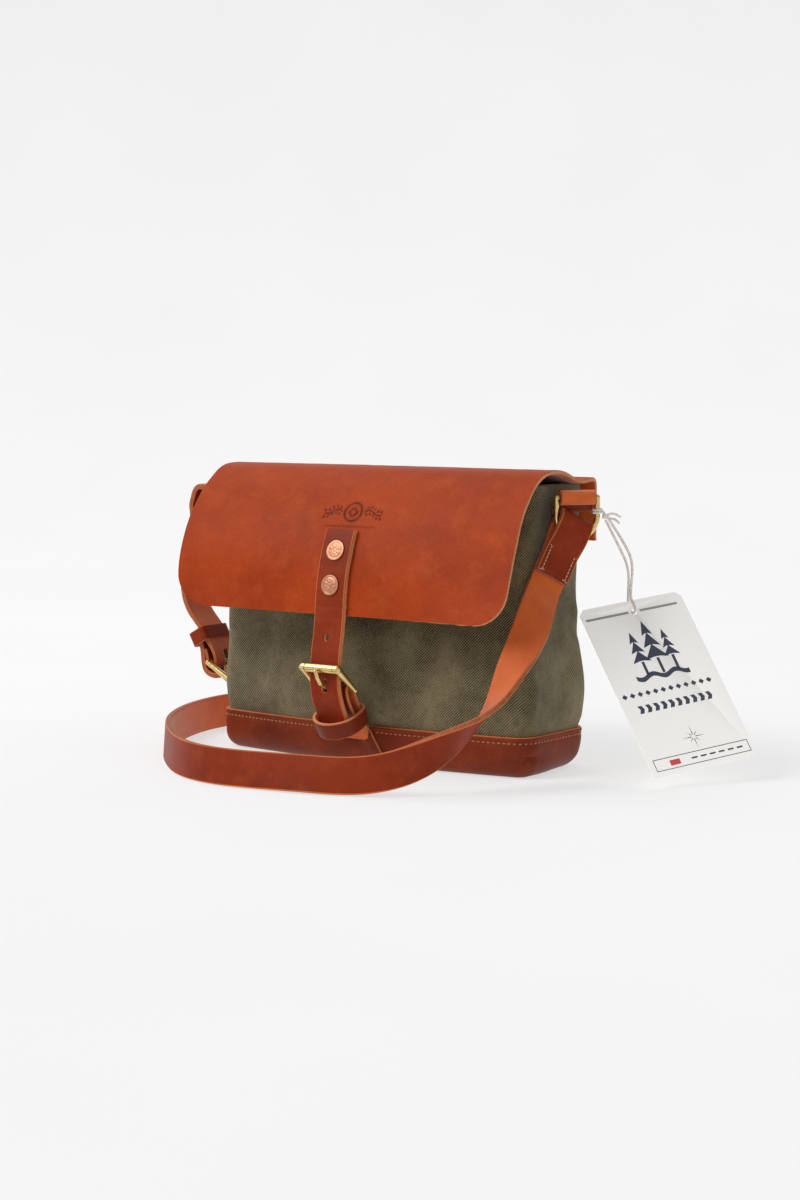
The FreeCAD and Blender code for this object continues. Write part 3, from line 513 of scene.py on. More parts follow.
def twill(name, dark, middle, light, pitch=2.0, place="UV", depth=0.38):
    """Heavy cotton twill: diagonal ribs crossed by yarns, worn lighter on the ribs, with slubs and faded patches."""
    f = Finish(name, Specular_IOR_Level=0.16, Sheen_Weight=0.22, Sheen_Roughness=0.45)
    spot = f.node("SeparateXYZ", {0: f.place(place)}).outputs
    wobble = f.math("MULTIPLY", f.math("SUBTRACT", f.noise(330, 2, 0.5, kind=place), 0.5), 0.0011)
    across = f.math("ADD", f.math("ADD", spot[0], spot[1]), wobble)
    along = f.math("ADD", f.math("SUBTRACT", spot[0], spot[1]), wobble)
    ribs = f.math("SINE", f.math("MULTIPLY", across, 2 * math.pi / (pitch * MM)))
    yarns = f.math("SINE", f.math("MULTIPLY", along, 2 * math.pi / (0.55 * pitch * MM)))
    weave = f.math("MULTIPLY", f.remap(ribs, -1, 1), f.remap(yarns, -1, 1, 0.40, 1.0))
    slub = f.noise(950, 3, 0.6, kind=place)
    weave = f.math("ADD", f.math("MULTIPLY", weave, 0.8), f.math("MULTIPLY", slub, 0.4))
    colour = f.mix(f.remap(weave, 0.18, 0.62), dark, middle)
    colour = f.mix(f.remap(weave, 0.6, 0.98), colour, light)
    fade = f.noise(24, 4, 0.6)
    colour = f.mix(f.remap(fade, 0.38, 0.68, 0.0, 0.38), colour, light)
    colour = f.mix(f.remap(f.noise(210, 3, 0.65), 0.5, 0.72, 0.0, 0.3), colour, dark)
    f.bump(f.noise(75, 3, 0.6), 0.9, 0.25)
    f.bump(weave, depth, 0.75)
    f.bump(f.noise(2600, 2, 0.7), 0.08, 0.4)
    return f.done(colour, f.remap(slub, 0.3, 0.7, 0.82, 0.95))


def metal(name, colour, dark, roughness):
    """Cast and tumbled metal: small waves, fine scratches and a darker film here and there."""
    f = Finish(name, Metallic=1.0)
    film = f.noise(130, 4, 0.6)
    scratch = f.noise(420, 4, 0.7, (1, 1, 0.12))
    tone = f.mix(f.remap(film, 0.45, 0.75, 0.0, 0.55), colour, dark)
    f.bump(f.noise(160, 2, 0.5), 0.03, 0.12)
    f.bump(scratch, 0.02, 0.4)
    rough = f.math("ADD", f.remap(film, 0.3, 0.7, roughness - 0.05, roughness + 0.10),
                   f.remap(scratch, 0.5, 0.8, 0.0, 0.10))
    return f.done(tone, rough)


def yarn(name, dark, light, turns=900.0):
    """Twisted thread or string."""
    f = Finish(name, Specular_IOR_Level=0.2, Sheen_Weight=0.3)
    ply = f.noise(turns, 2, 0.6, (1, 1, 0.45))
    colour = f.mix(f.remap(ply, 0.35, 0.62), dark, light)
    f.bump(ply, 0.25, 0.6)
    return f.done(colour, f.remap(ply, 0.3, 0.7, 0.7, 0.85))


def card_stock(name, colour, shade, rough=0.7, painted_glow=0.0):
    """Uncoated board with faint fibres, and an optional emission that paints a glow of light onto it."""
    f = Finish(name, Specular_IOR_Level=0.2, Emission_Color=(1, 0.99, 0.97, 1), Emission_Strength=painted_glow)
    fibre = f.noise(700, 4, 0.7)
    tone = f.mix(f.remap(fibre, 0.35, 0.75, 0.0, 0.35), colour, shade)
    tone = f.mix(f.remap(f.noise(28, 3, 0.5), 0.4, 0.7, 0.0, 0.25), tone, shade)
    f.bump(fibre, 0.04, 0.4)
    return f.done(tone, f.remap(fibre, 0.3, 0.7, rough - 0.06, rough + 0.06))


FLAP_GRAIN = smooth_leather("flap_grain", rgb(142, 48, 16), rgb(170, 64, 22), rgb(190, 88, 40), 0.44, gloss=0.08)
STRAP_GRAIN = smooth_leather("strap_grain", rgb(110, 36, 16), rgb(140, 50, 22), rgb(166, 74, 38), 0.42, gloss=0.10)
BASE_GRAIN = smooth_leather("base_grain", rgb(88, 32, 15), rgb(120, 45, 20), rgb(152, 66, 32), 0.42, 1.5)
RIM = smooth_leather("leather_rim", rgb(176, 84, 40), rgb(204, 108, 56), rgb(216, 130, 76), 0.5)
PRESSED = smooth_leather("flap_pressed", rgb(96, 34, 14), rgb(112, 42, 18), rgb(128, 52, 24), 0.45)
FLAP_EDGE = raw_edge("flap_edge", rgb(190, 116, 72), rgb(230, 166, 116))
STRAP_EDGE = raw_edge("strap_edge", rgb(128, 70, 46), rgb(190, 112, 74))
FLESH = flesh_side("leather_flesh", rgb(196, 84, 20), rgb(224, 110, 34))
STRAP_LEATHER = [STRAP_GRAIN, RIM, STRAP_EDGE, FLESH]
BASE_LEATHER = [BASE_GRAIN, RIM, FLAP_EDGE, FLESH]
CANVAS_CLOTH = twill("canvas_twill", rgb(38, 33, 21), rgb(96, 86, 60), rgb(166, 152, 114), pitch=2.1, depth=0.5)
LINING_CLOTH = twill("lining_cotton", rgb(110, 98, 72), rgb(140, 126, 96), rgb(160, 148, 118), 0.9, depth=0.12)
BRASS = metal("brass", rgb(232, 206, 140), rgb(176, 140, 80), 0.20)
COPPER = metal("copper", rgb(206, 146, 116), rgb(140, 84, 60), 0.44)
THREAD_LIGHT = yarn("thread_light", rgb(176, 140, 104), rgb(222, 196, 160), 1500.0)
THREAD_TAN = yarn("thread_tan", rgb(150, 84, 48), rgb(196, 126, 78), 1500.0)
THREAD_OLIVE = yarn("thread_olive", rgb(84, 78, 56), rgb(122, 114, 86), 1500.0)
STRING = yarn("cotton_string", rgb(218, 204, 196), rgb(246, 240, 234), 700.0)
# The tag card gets a painted glow: its emission makes it brighter than the lamps alone would.
CARD = card_stock("tag_card", rgb(244, 243, 239), rgb(238, 235, 229), painted_glow=0.21)
BOARD = card_stock("base_board_card", rgb(150, 128, 98), rgb(120, 100, 74), 0.85)
INK = card_stock("ink_blue", rgb(74, 78, 96), rgb(108, 112, 128), 0.75)
INK_GREY = card_stock("ink_grey", rgb(166, 166, 164), rgb(186, 186, 184), 0.75)
INK_RED = card_stock("ink_red", rgb(226, 84, 84), rgb(232, 120, 116), 0.75)


# ---- camera, lights and floor ----------------------------------------------------------------------

def look(spot, place, target):
    spot.location = place
    spot.rotation_euler = (Vector(target) - Vector(place)).to_track_quat("-Z", "Y").to_euler()


def add_camera():
    data = bpy.data.cameras.new("camera")
    data.lens, data.sensor_width, data.clip_end = LENS, SENSOR, 50.0
    camera = placed("camera", data)
    flat = math.cos(ELEVATION) * DISTANCE
    place = (TARGET[0] + flat * math.sin(AZIMUTH), TARGET[1] - flat * math.cos(AZIMUTH),
             TARGET[2] + math.sin(ELEVATION) * DISTANCE)
    look(camera, [c * MM for c in place], [c * MM for c in TARGET])
    bpy.context.scene.camera = camera


def add_light(name, kind, place, size, power, target=(0, 0, 0.1)):
    data = bpy.data.lights.new(name, kind)
    data.energy = power
    if kind == "SUN":
        data.angle = size
    else:
        data.shape, data.size, data.size_y = "RECTANGLE", size[0], size[1]
    look(placed(name, data), place, target)


def add_stage():
    """Pale floor that curves up into a wall behind the object. Its sizes are metres."""
    bend_from, bend_r, half_wide = 1.6, 1.2, 5.0
    profile = [(-3.0, 0.0), (-0.5, 0.0), (bend_from, 0.0)]
    profile += [(bend_from + bend_r * math.sin(a), bend_r - bend_r * math.cos(a))
                for a in np.linspace(0.05, math.pi / 2, 16)]
    profile.append((bend_from + bend_r, 4.0))
    points = []
    for along, up in profile:
        for across in (-half_wide, half_wide):
            x = -along * math.sin(AZIMUTH) + across * math.cos(AZIMUTH)
            y = along * math.cos(AZIMUTH) + across * math.sin(AZIMUTH)
            points.append((x / MM, y / MM, up / MM))
    faces = [(2 * k, 2 * k + 1, 2 * k + 3, 2 * k + 2) for k in range(len(profile) - 1)]
    f = Finish("stage_paper", Specular_IOR_Level=0.0, Roughness=1.0, Emission_Color=(1, 1, 1, 1),
               Emission_Strength=0.575)
    paper = f.done(f.mix(f.remap(f.noise(3, 2), 0.3, 0.7), (0.38, 0.38, 0.38, 1), (0.40, 0.40, 0.40, 1)))
    build("stage", points, faces, [paper], solid=False)


def add_world():
    world = bpy.data.worlds.new("world")
    world.use_nodes = True
    colour, strength = world.node_tree.nodes["Background"].inputs[:2]
    colour.default_value, strength.default_value = (1.0, 1.0, 1.0, 1.0), 0.40
    bpy.context.scene.world = world
    bpy.context.scene.view_settings.view_transform = "Standard"


add_camera()
add_stage()
add_world()
add_light("key", "SUN", (-0.52, -0.74, 0.86), math.radians(30), 1.55)
add_light("top", "AREA", (-0.9, -0.1, 1.6), (1.0, 0.6), 5.0)
add_light("side", "AREA", (1.7, -1.5, 0.9), (0.4, 1.2), 1.6)


def finish_piece(piece, slot, *nodes, body=None, blend=None):
    """Parent a piece to the body it moves with, or bake its transform where blend is given, and hide the nodes it
    replaces. slot is not used.
    """
    if body:
        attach(piece, body)
    if blend:
        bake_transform(piece)
    if nodes:
        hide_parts(*nodes)
    return piece


# ---- hang tag, its string and its knot -------------------------------------------------------------

TAG_CORNER = np.array([145.7, 8.6, 113.1])
TAG_ACROSS = unit(np.array([185.0, 79.7, 124.1]) - TAG_CORNER)
tag_fall = np.array([223.6, -18.0, 7.3]) - TAG_CORNER
TAG_DOWN = unit(tag_fall - TAG_ACROSS * (tag_fall @ TAG_ACROSS))
TAG_FACE = np.cross(TAG_ACROSS, TAG_DOWN)
TAG_WIDE, TAG_TALL, TAG_THICK = 82.0, 134.0, 0.8
TAG_HOLE_DOWN, TAG_HOLE_R = 9.0, 2.4
INK_TOP, INK_FOOT = 0.05, 0.005
CORD_R = 0.85             # of the string where it is knotted

STRING_ROUTE = [(0.1640, 0.0144, 0.1764), (0.1682, 0.0234, 0.1600), (0.1718, 0.0339, 0.1420),
                (0.16379, 0.04504, 0.11849), (0.16631, 0.04462, 0.11222), (0.16948, 0.04325, 0.10971),
                (0.17264, 0.04106, 0.11258), (0.17131, 0.04115, 0.11678), (0.16675, 0.04299, 0.12119),
                (0.1726, 0.0379, 0.1460), (0.1698, 0.0289, 0.1610), (0.1652, 0.0170, 0.1768)]


def make_string():
    curve = bpy.data.curves.new("tag_string_cord", "CURVE")
    curve.dimensions, curve.bevel_depth, curve.bevel_resolution, curve.use_fill_caps = "3D", 0.0009, 5, True
    line = curve.splines.new("NURBS")
    line.points.add(len(STRING_ROUTE) - 1)
    for point, place in zip(line.points, STRING_ROUTE):
        point.co = (*place, 1.0)
    line.order_u, line.use_endpoint_u, line.resolution_u = 3, True, 12
    curve.materials.append(STRING)
    return finish_piece(placed("tag_string_cord", curve), "string", "tag_string", body="hang_tag")


def make_knot():
    """Two turns of the string round the ring's leg, a small knot beside it and the two cut ends."""
    bar = np.array([math.cos(RIGHT_TURN), math.sin(RIGHT_TURN), 0])
    wire = RIGHT_BAR + bar * RING_R - Z_AXIS * (RING_LEG - 3.0)
    turn = np.linspace(0, 2 * math.pi, 28, endpoint=False)
    radius = RING_WIRE_R + 1.0
    parts = []
    for lift, phase in ((-CORD_R, 0.0), (CORD_R, 0.6)):
        loop = np.stack([radius * np.cos(turn), radius * np.sin(turn), lift + 0.25 * np.sin(turn + phase)], 1)
        parts.append(rope("turn", wire + loop, CORD_R, [STRING], closed=True))
    t = np.linspace(0, 2 * math.pi, 64, endpoint=False)
    clover = np.stack([np.sin(t) + 2 * np.sin(2 * t), np.cos(t) - 2 * np.cos(2 * t), -1.3 * np.sin(3 * t)], 1) * 0.62
    parts.append(rope("clover", KNOT + clover, CORD_R, [STRING], closed=True))
    beside = unit((KNOT - wire) * [1, 1, 0])
    rows = {"link": [wire + beside * 2.6, wire + beside * 4.0 + [0, 0, -0.6], KNOT],
            "end_one": [KNOT, KNOT + [2.4, 1.8, 1.6], KNOT + [5.6, 3.4, 1.6], KNOT + [9.5, 5.0, -0.5]],
            "end_two": [KNOT, KNOT + [2.0, 1.6, -1.4], KNOT + [4.6, 4.4, -2.0], KNOT + [7.0, 7.0, -5.0]]}
    for name, line in rows.items():
        parts.append(rope(name, cubic(line, 0.5), CORD_R, [STRING]))
    return finish_piece(joined("tag_knot_string", parts), "string", "tag_knot", body="hang_tag")


def tag_point(across, down, lift=0.0):
    return TAG_CORNER + TAG_ACROSS * across + TAG_DOWN * down - TAG_FACE * lift


def make_card():
    """Card with two cut corners, a punched hole and slightly rounded edges."""
    cut = 4.0
    plan = [(cut, 0), (TAG_WIDE - cut, 0), (TAG_WIDE, cut), (TAG_WIDE, TAG_TALL), (0, TAG_TALL), (0, cut)]
    points = [tag_point(x, y) for x, y in plan] + [tag_point(x, y, -TAG_THICK) for x, y in plan]
    card = build("tag_card", points, prism_faces(len(plan)), [CARD], sharp=20)
    hole = tag_point(TAG_WIDE / 2, TAG_HOLE_DOWN)
    punch(card, *prism_between(hole + TAG_FACE * 3, hole - TAG_FACE * 3, circle(TAG_HOLE_R, 28), TAG_DOWN), 0)
    edit(card, lambda bm: bmesh.ops.bevel(bm, geom=[e for e in bm.edges if e.calc_face_angle(0) > 0.5], offset=0.0001,
                                          segments=2, affect="EDGES"))
    return finish_piece(card, "card", "hang_tag", body="hang_tag")


def printed(shapes, index, store):
    """Add flat printed shapes, each an outline in tag millimetres, to the store of points, faces and zones."""
    points, faces, zones = store
    for plan in shapes:
        faces += prism_faces(len(plan), len(points))
        points += [tag_point(x, y, INK_TOP) for x, y in plan] + [tag_point(x, y, INK_FOOT) for x, y in plan]
        zones += [index] * (len(plan) + 2)


def make_print():
    """Plain pattern in place of what such a tag says: three pines over hills, bands of dashes, a star and a box."""
    store = ([], [], [])
    grey = [bar_shape(2.6, 8.0, 36.5, 9.8), bar_shape(45.5, 8.0, 76.0, 9.8)]
    blue = []
    for x, top, size in ((30.0, 24.0, 8.0), (42.5, 17.0, 10.0), (54.5, 26.0, 7.0)):
        for tier in range(3):
            y = top + tier * size * 0.95
            half = size * (0.42 + 0.25 * tier)
            blue.append([(x, y), (x + half, y + size * 1.15), (x + half * 0.25, y + size * 1.0),
                         (x - half * 0.25, y + size * 1.0), (x - half, y + size * 1.15)])
        blue.append(bar_shape(x - 1.1, top + 3 * size, x + 1.1, 59.0))
    ridge = [(20.0 + k, 58.0 + 1.6 * math.sin(k * 0.35)) for k in range(0, 44, 2)]
    blue.append(ridge + [(x, y + 3.6) for x, y in ridge[::-1]])
    for k in range(12):
        x = 3.0 + 6.1 * k
        blue.append([(x, 71.5), (x + 2.2, 69.4), (x + 4.4, 71.5), (x + 2.2, 73.6)])
    for k in range(10):
        x = 11.0 + 6.0 * k
        blue.append([(x, 80.0), (x + 3.2, 80.0), (x + 4.6, 83.0), (x + 3.2, 86.0), (x, 86.0), (x + 1.4, 83.0)])
    for k in range(8):
        tip, long = k * math.pi / 4, 5.6 if k % 2 else 9.0
        blue.append([(41.5 + r * math.cos(a), 110.5 + r * math.sin(a))
                     for r, a in ((1.6, tip - 0.2), (long, tip), (1.6, tip + 0.2))])
    for x0, y0, x1, y1 in ((4, 121, 79, 121.5), (4, 129.5, 79, 130), (4, 121.5, 4.5, 129.5), (78.5, 121.5, 79, 129.5)):
        blue.append(bar_shape(x0, y0, x1, y1))
    for k in range(6):
        blue.append(bar_shape(33.0 + 7.2 * k, 124.9, 37.6 + 7.2 * k, 126.1))
    for index, shapes in enumerate((grey, blue, [bar_shape(16.0, 123.6, 24.0, 127.6)])):
        printed(shapes, index, store)
    art = build("tag_print", store[0], store[1], [INK_GREY, INK, INK_RED], store[2], sharp=20)
    return finish_piece(art, "card", body="hang_tag")


string = make_string()
knot = make_knot()
make_card()
make_print()


# ---- bag body --------------------------------------------------------------------------------------

FRONT_CORNER_REACH = 11.6   # how far the rounding of the front corners reaches along the sides
LINING = 0.8


def plan_curve(z):
    """Nominal outline of the bag at a height, from the middle of the back towards +X and round, with fixed counts."""
    share = np.clip((z - TAPER_FROM) / (BAG_TOP - TAPER_FROM), 0, 1)
    corner_y, bulge_y = (foot + (top - foot) * share for foot, top in (FRONT_CORNER, FRONT_BULGE))
    start_x, low_y = HALF_WIDTH - FRONT_CORNER_REACH, corner_y + FRONT_CORNER_REACH

    def front(x):
        return bulge_y + (corner_y - bulge_y) * (x / HALF_WIDTH) ** 2

    def bend(*corners):
        a, b, c, d = np.array(corners)
        t = np.linspace(0, 1, 9, endpoint=False)[:, None]
        return (1 - t) ** 3 * a + 3 * (1 - t) ** 2 * t * b + 3 * (1 - t) * t ** 2 * c + t ** 3 * d

    k = 0.5523 * CORNER_R     # handle length that makes a cubic curve a quarter circle
    back_x, side_y = HALF_WIDTH - CORNER_R, BACK_Y - CORNER_R
    edge = np.array([start_x, front(start_x)])
    way = unit([1.0, 2 * (corner_y - bulge_y) * start_x / HALF_WIDTH ** 2])
    x = np.linspace(start_x, 0, 45, endpoint=False)
    right = np.vstack([
        np.stack([np.linspace(0, back_x, 34, endpoint=False), np.full(34, BACK_Y)], 1),
        bend((back_x, BACK_Y), (back_x + k, BACK_Y), (HALF_WIDTH, side_y + k), (HALF_WIDTH, side_y)),
        np.stack([np.full(22, HALF_WIDTH), np.linspace(side_y, low_y, 22, endpoint=False)], 1),
        bend((HALF_WIDTH, low_y), (HALF_WIDTH, low_y - 6.7), edge + way * 6.7, edge),
        np.stack([x, front(x)], 1)])
    return np.vstack([right, [[0.0, bulge_y]], right[1:][::-1] * [-1, 1]])


def plan_rings(levels):
    """Rings round the bag at (outward, height) levels, and which way is outward at each point."""
    rings, outs = [], []
    for outward, z in levels:
        p = plan_curve(z)
        way = unit(np.roll(p, -1, 0) - np.roll(p, 1, 0))
        out = np.stack([-way[:, 1], way[:, 0]], 1)
        rings.append(np.column_stack([p + out * outward, np.full(len(p), z)]))
        outs.append(np.column_stack([out, np.zeros(len(p))]))
    return np.array(rings), np.array(outs)


def slump(p):
    """How far the cloth stands out from its flat panels: a full foot, hollow ends and creases at the corners."""
    x, y, z = p[..., 0], p[..., 1], p[..., 2]
    rise = smooth((z - 26) / 12) * smooth((BAG_TOP - z) / 30)
    end = smooth((np.abs(x) - 126) / 8)
    rear = end * smooth((y + 4) / 34)
    push = 1.9 * hill(z, 52, 26) + 3.6 * rear * hill(z, 62, 30)
    push += -2.6 * end * hill(y, 4, 26) * hill(z, 118, 30) - 2.4 * rear * hill(z, 122, 22)
    crease = (y - 30.0) * 0.78 + (111 - z) * -0.62
    right = (x > 0) * end
    push += right * (2.4 * hill(crease, 3.5, 4.5) - 2.0 * hill(crease, -6.0, 6.0)) * hill(z, 97, 17)
    push += 1.1 * end * ripple(y / 26, z / 48, 5)
    front = smooth((-y - 20) / 16) * (1 - end)
    push += front * (1.0 * ripple(x / 60, z / 34, 7) - 1.5 * hill(z, 92, 20) * hill(np.abs(x), 70, 34))
    back = smooth((y - 20) / 16) * (1 - end)
    push += back * 0.7 * ripple(x / 70, z / 46, 9)
    return push * rise


def slumped_rings(levels):
    rings, outs = plan_rings(levels)
    return rings + outs * slump(rings)[..., None]


def make_canvas():
    """Cloth wall with a thickness and a turned hem at its top."""
    heights = np.r_[14, 22, np.arange(28, 190, 3.0)]
    outer = [(CANVAS_OUT, z) for z in heights]
    hem = [(CANVAS_OUT, 190.4), (CANVAS_OUT + 0.9, 191.2), (CANVAS_OUT + 1.0, 194), (CANVAS_OUT + 1.0, 198),
           (CANVAS_OUT + 0.8, 200.2), (CANVAS_OUT - 0.2, 201.0), (CANVAS_OUT - 1.5, 201.0), (CANVAS_OUT - 2.2, 200.2)]
    inner = [(CANVAS_OUT - CANVAS, z) for z in np.r_[195, heights[::-1]]]
    shell = loft("canvas_shell", slumped_rings(outer + hem + inner), [CANVAS_CLOTH], 0, closed=True)
    return finish_piece(shell, "canvas", "canvas_front", "canvas_back", body="bag")


def make_lining():
    """Cotton bag inside the canvas, open at the top, with a rounded foot of this radius over the board."""
    out, floor_z, r = CANVAS_OUT - CANVAS - 0.15, 5.3, 8
    foot = [(out - r * (1 - math.cos(a)), floor_z + r * (1 - math.sin(a))) for a in np.linspace(math.pi / 2, 0, 6)]
    heights = np.arange(18, 188, 6.0)
    wall = [(out, z) for z in heights]
    lip = [(out, 189), (out + 0.02, 190), (out - LINING, 190), (out - LINING - 0.02, 189)]
    inside = [(out - LINING, z) for z in heights[::-1]]
    floor = [(o - LINING * math.cos(a), z + LINING * math.sin(a))
             for (o, z), a in zip(foot[::-1], np.linspace(0, math.pi / 2, 6))]
    shell = loft("lining_shell", slumped_rings(foot + wall + lip + inside + floor), [LINING_CLOTH], 0)
    return finish_piece(shell, "lining", "lining", body="bag")


def make_pocket():
    """Slip pocket sewn inside the back of the lining; its mouth hangs slightly open."""
    half, foot, mouth = 80, 70, 165
    x, z = np.meshgrid(np.linspace(-half, half, 41), np.linspace(foot, mouth, 25))
    wall = BACK_Y + CANVAS_OUT - CANVAS - 0.95
    open_out = 0.15 + 3.4 * smooth((z - 110) / 55) * (1 - (x / half) ** 2) ** 1.5
    grid = np.stack([x, wall - 1.0 - open_out, z], -1)
    pocket = sheet("lining_pocket", grid, 0.9, [LINING_CLOTH], np.stack([x, z], -1),
                   flip=grid_side(grid, (0, -1, 0)), rim=0.3)
    pocket.data.polygons.foreach_set("material_index", np.zeros(len(pocket.data.polygons), np.int32))
    return finish_piece(pocket, "lining", "inner_pocket", body="bag")


def grid_side(grid, toward):
    """+1 if a grid's normals point that way, otherwise -1."""
    return 1 if np.mean(grid_normals(grid) @ np.array(toward, float)) > 0 else -1


def lap_distance(p):
    """Distance along X from the slanted line where the base leathers meet, negative on the left piece."""
    return p[..., 0] - (OVERLAP_TOP_X + (OVERLAP_LOW_X - OVERLAP_TOP_X) * (BASE_TOP - p[..., 2]) / BASE_TOP)


def lap_rise(p):
    """How far the left base piece lifts where it laps over the right one."""
    return 2.3 * smooth((lap_distance(p) + 16) / 12) * (p[..., 1] < 0)


def base_levels():
    """(outward, height) levels of the base in section: rounded foot, wall with its rolled top, and inside."""
    arc = [(BASE_OUT - BASE_EDGE_R * (1 - math.cos(a)), BASE_EDGE_R * (1 - math.sin(a)))
           for a in np.linspace(math.pi / 2, 0, 9)]
    wall = [(2.0, 15), (2.05, 18), (2.0, 21), (1.9, 23.2), (1.45, 24.3), (1.45, 25.0), (1.9, 25.9), (2.3, 26.7),
            (2.4, 27.6), (2.1, 28.5), (1.5, 29.0), (0.4, 29.0), (-0.5, 28.6), (-0.72, 27.5)]
    inside = [(-0.75, 22), (-0.75, 16), (-0.75, 12)]
    r = BASE_EDGE_R - LEATHER
    inside += [(-0.75 - r * (1 - math.cos(a)), LEATHER + r * (1 - math.sin(a)))
               for a in np.linspace(0.2, math.pi / 2, 6)]
    return arc, wall, inside


def make_base():
    """Two leather trays cut where they lap, with a dent in the front right corner and a rear right one worn round."""
    arc, wall, inside = base_levels()
    levels = arc + wall + inside
    turned = len(arc) + len(wall)
    for side, name in ((-1, "left"), (1, "right")):
        rings, outs = plan_rings(levels)
        outward = np.zeros(rings.shape[:2])
        face = turned - 4
        p = rings[:face]
        x, y, z = p[..., 0], p[..., 1], p[..., 2]
        outward[:face] = 0.35 * ripple(x / 45, y / 45 + z / 30, 11) * smooth(z / 8.0)
        corner = hill(x * 0.78 - y * 0.62, 131.0, 9.0) * (y < 0) * (x > 0)
        fold_z = 13.5 + 1.8 * np.sin((x * 0.62 + y * 0.78 - 52) * 0.16)
        outward[:face] += (-2.6 * hill(z, fold_z, 2.2) + 1.5 * hill(z, fold_z + 4.6, 2.4)) * corner
        if side < 0:
            outward[:face] += lap_rise(p) * smooth(z / 6.0)
        rear = smooth((rings[..., 0] - 100) / 34) * smooth((rings[..., 1] + 20) / 50)
        outward += -6.0 * rear * np.clip(1 - rings[..., 2] / 24, 0, 1) ** 1.8
        rings = rings + outs * outward[..., None]
        piece = loft("base_%s_leather" % name, rings, BASE_LEATHER, leather_zones(len(levels), turned))
        slope = np.array([BASE_TOP, 0, OVERLAP_LOW_X - OVERLAP_TOP_X]) * (-side)
        slice_off(piece, (OVERLAP_LOW_X, 0, 0), slope, 2)
        if side > 0:
            slice_off(piece, (0, 0, 0.3), (0, 0, -1), 0)
        finish_piece(piece, "base_leather", "base_leather_" + name, body="bag")


def leather_zones(count, turned):
    """Grain outside and flesh inside, a rim along the rolled top."""
    zones = np.zeros((count - 1, 1), int)
    zones[turned - 5:turned - 3] = 1
    zones[turned - 3:] = 3
    return zones


def prong_slot(piece, heel, bar, reach, near, far, low, high, half):
    """Slot for a prong, from near to far along the buckle's reach and from low to high through the leather."""
    reach = unit(reach)
    out = np.cross(bar, reach)
    middle, long = heel + reach * (near + far) / 2, (far - near) / 2
    plan = bar_shape(-half, -long, half, long)
    punch(piece, *prism_between(middle + out * low, middle + out * high, plan, reach), 2)


def make_tongue():
    """Strip from the base up to the buckle's heel bar, folded round it and back down behind itself."""
    line = [(-59.0, 31.2), (-64.5, 34.2), (-70.2, 38.4), (-76.2, 46.8), (-79.5, 54.6), (-79.3, 58.6), (-76.6, 60.9),
            (-73.4, 60.0), (-71.2, 55.8), (-67.2, 47.6), (-61.0, 36.4), (-56.6, 27.0), (-53.6, 19.6)]
    rows = cubic([row((0, y, z), X_AXIS, STRAP_WIDE, LEATHER) for y, z in line], 1.2)
    tongue = ribbon("tongue", rows, BASE_LEATHER, -1, seed=4)
    prong_slot(tongue, HEEL, X_AXIS, (0, -18, 16), -4.6, 9.0, -9.0, 9.0, 2.3)
    return finish_piece(tongue, "base_leather", body="bag")


def make_keeper():
    """Leather band that holds the closing strap's tail, open a little wider at its top."""
    tilt, flare = math.radians(23.0), math.radians(7.0)
    ahead, rise = np.array([0, -math.cos(tilt), -math.sin(tilt)]), np.array([0, -math.sin(tilt), math.cos(tilt)])
    tall, thick, middle = 13.0, 2.6, np.array([0.0, -73.0, 33.6])
    plan = [(9.5, -15.6), (13.0, -14.2), (15.4, -10.5), (16.2, -5.0)]
    plan += [(16.0 * math.cos(a), 14.6 * math.sin(a)) for a in np.radians([4, 22, 42, 64])] + [(0.0, 14.6)]
    plan += [(-x, y) for x, y in plan[:-1][::-1]]
    rows = []
    for x, y in plan:
        outward = unit(X_AXIS * x + ahead * max(y, 0.0))
        up = rise * math.cos(flare) + outward * math.sin(flare)
        rows.append(row(middle + X_AXIS * x + ahead * y, up, tall, thick))
    keeper = ribbon("keeper", cubic(rows, 1.3), BASE_LEATHER, -1, seed=6, columns=5)
    return finish_piece(keeper, "base_leather", "front_keeper", body="bag")


make_canvas()
make_lining()
make_pocket()
make_base()
make_tongue()
make_keeper()


# ---- flap and closing strap ------------------------------------------------------------------------

# The flap's outer face in section as (y, z): up the back and over the hinge, then at its left, middle and right.
HINGE_ROWS = [(40.5, 160), (40.5, 172), (40.5, 184), (40.6, 194), (40.6, 199), (39.6, 202.6), (37.0, 204.3)]
FLAP_LEFT = [(32, 204.6), (18, 206), (5, 208.8), (-8, 210.4), (-20, 210.3), (-31, 208), (-41, 202), (-51.2, 193.6),
             (-60.6, 183), (-69.4, 170), (-75.8, 156), (-80, 142), (-81.2, 128), (-78.4, 109)]
FLAP_MIDDLE = [(32, 204.6), (18, 206), (5, 208.8), (-8, 210.8), (-20, 210.6), (-31, 208), (-41, 202), (-50, 193.6),
               (-58, 183), (-65, 170), (-71, 156), (-75.5, 142), (-78.5, 128), (-80.2, 109)]
FLAP_RIGHT = [(32, 204.3), (18, 203.6), (6, 207.4), (-6, 210.6), (-18, 210.9), (-29, 208.2), (-38.5, 202),
              (-46.4, 193.6), (-54.2, 183), (-60.4, 170), (-65.6, 156), (-70.2, 142), (-74.6, 128), (-81.6, 109)]


def flap_profile(side, step=1.0):
    """Outer face of the flap in section, as closely spaced (0, y, z) rows."""
    return cubic([(0, y, z) for y, z in HINGE_ROWS + side], step)


STAMP_X, STAMP_Z, STAMP_DEEP = 3.0, 180.0, 0.8


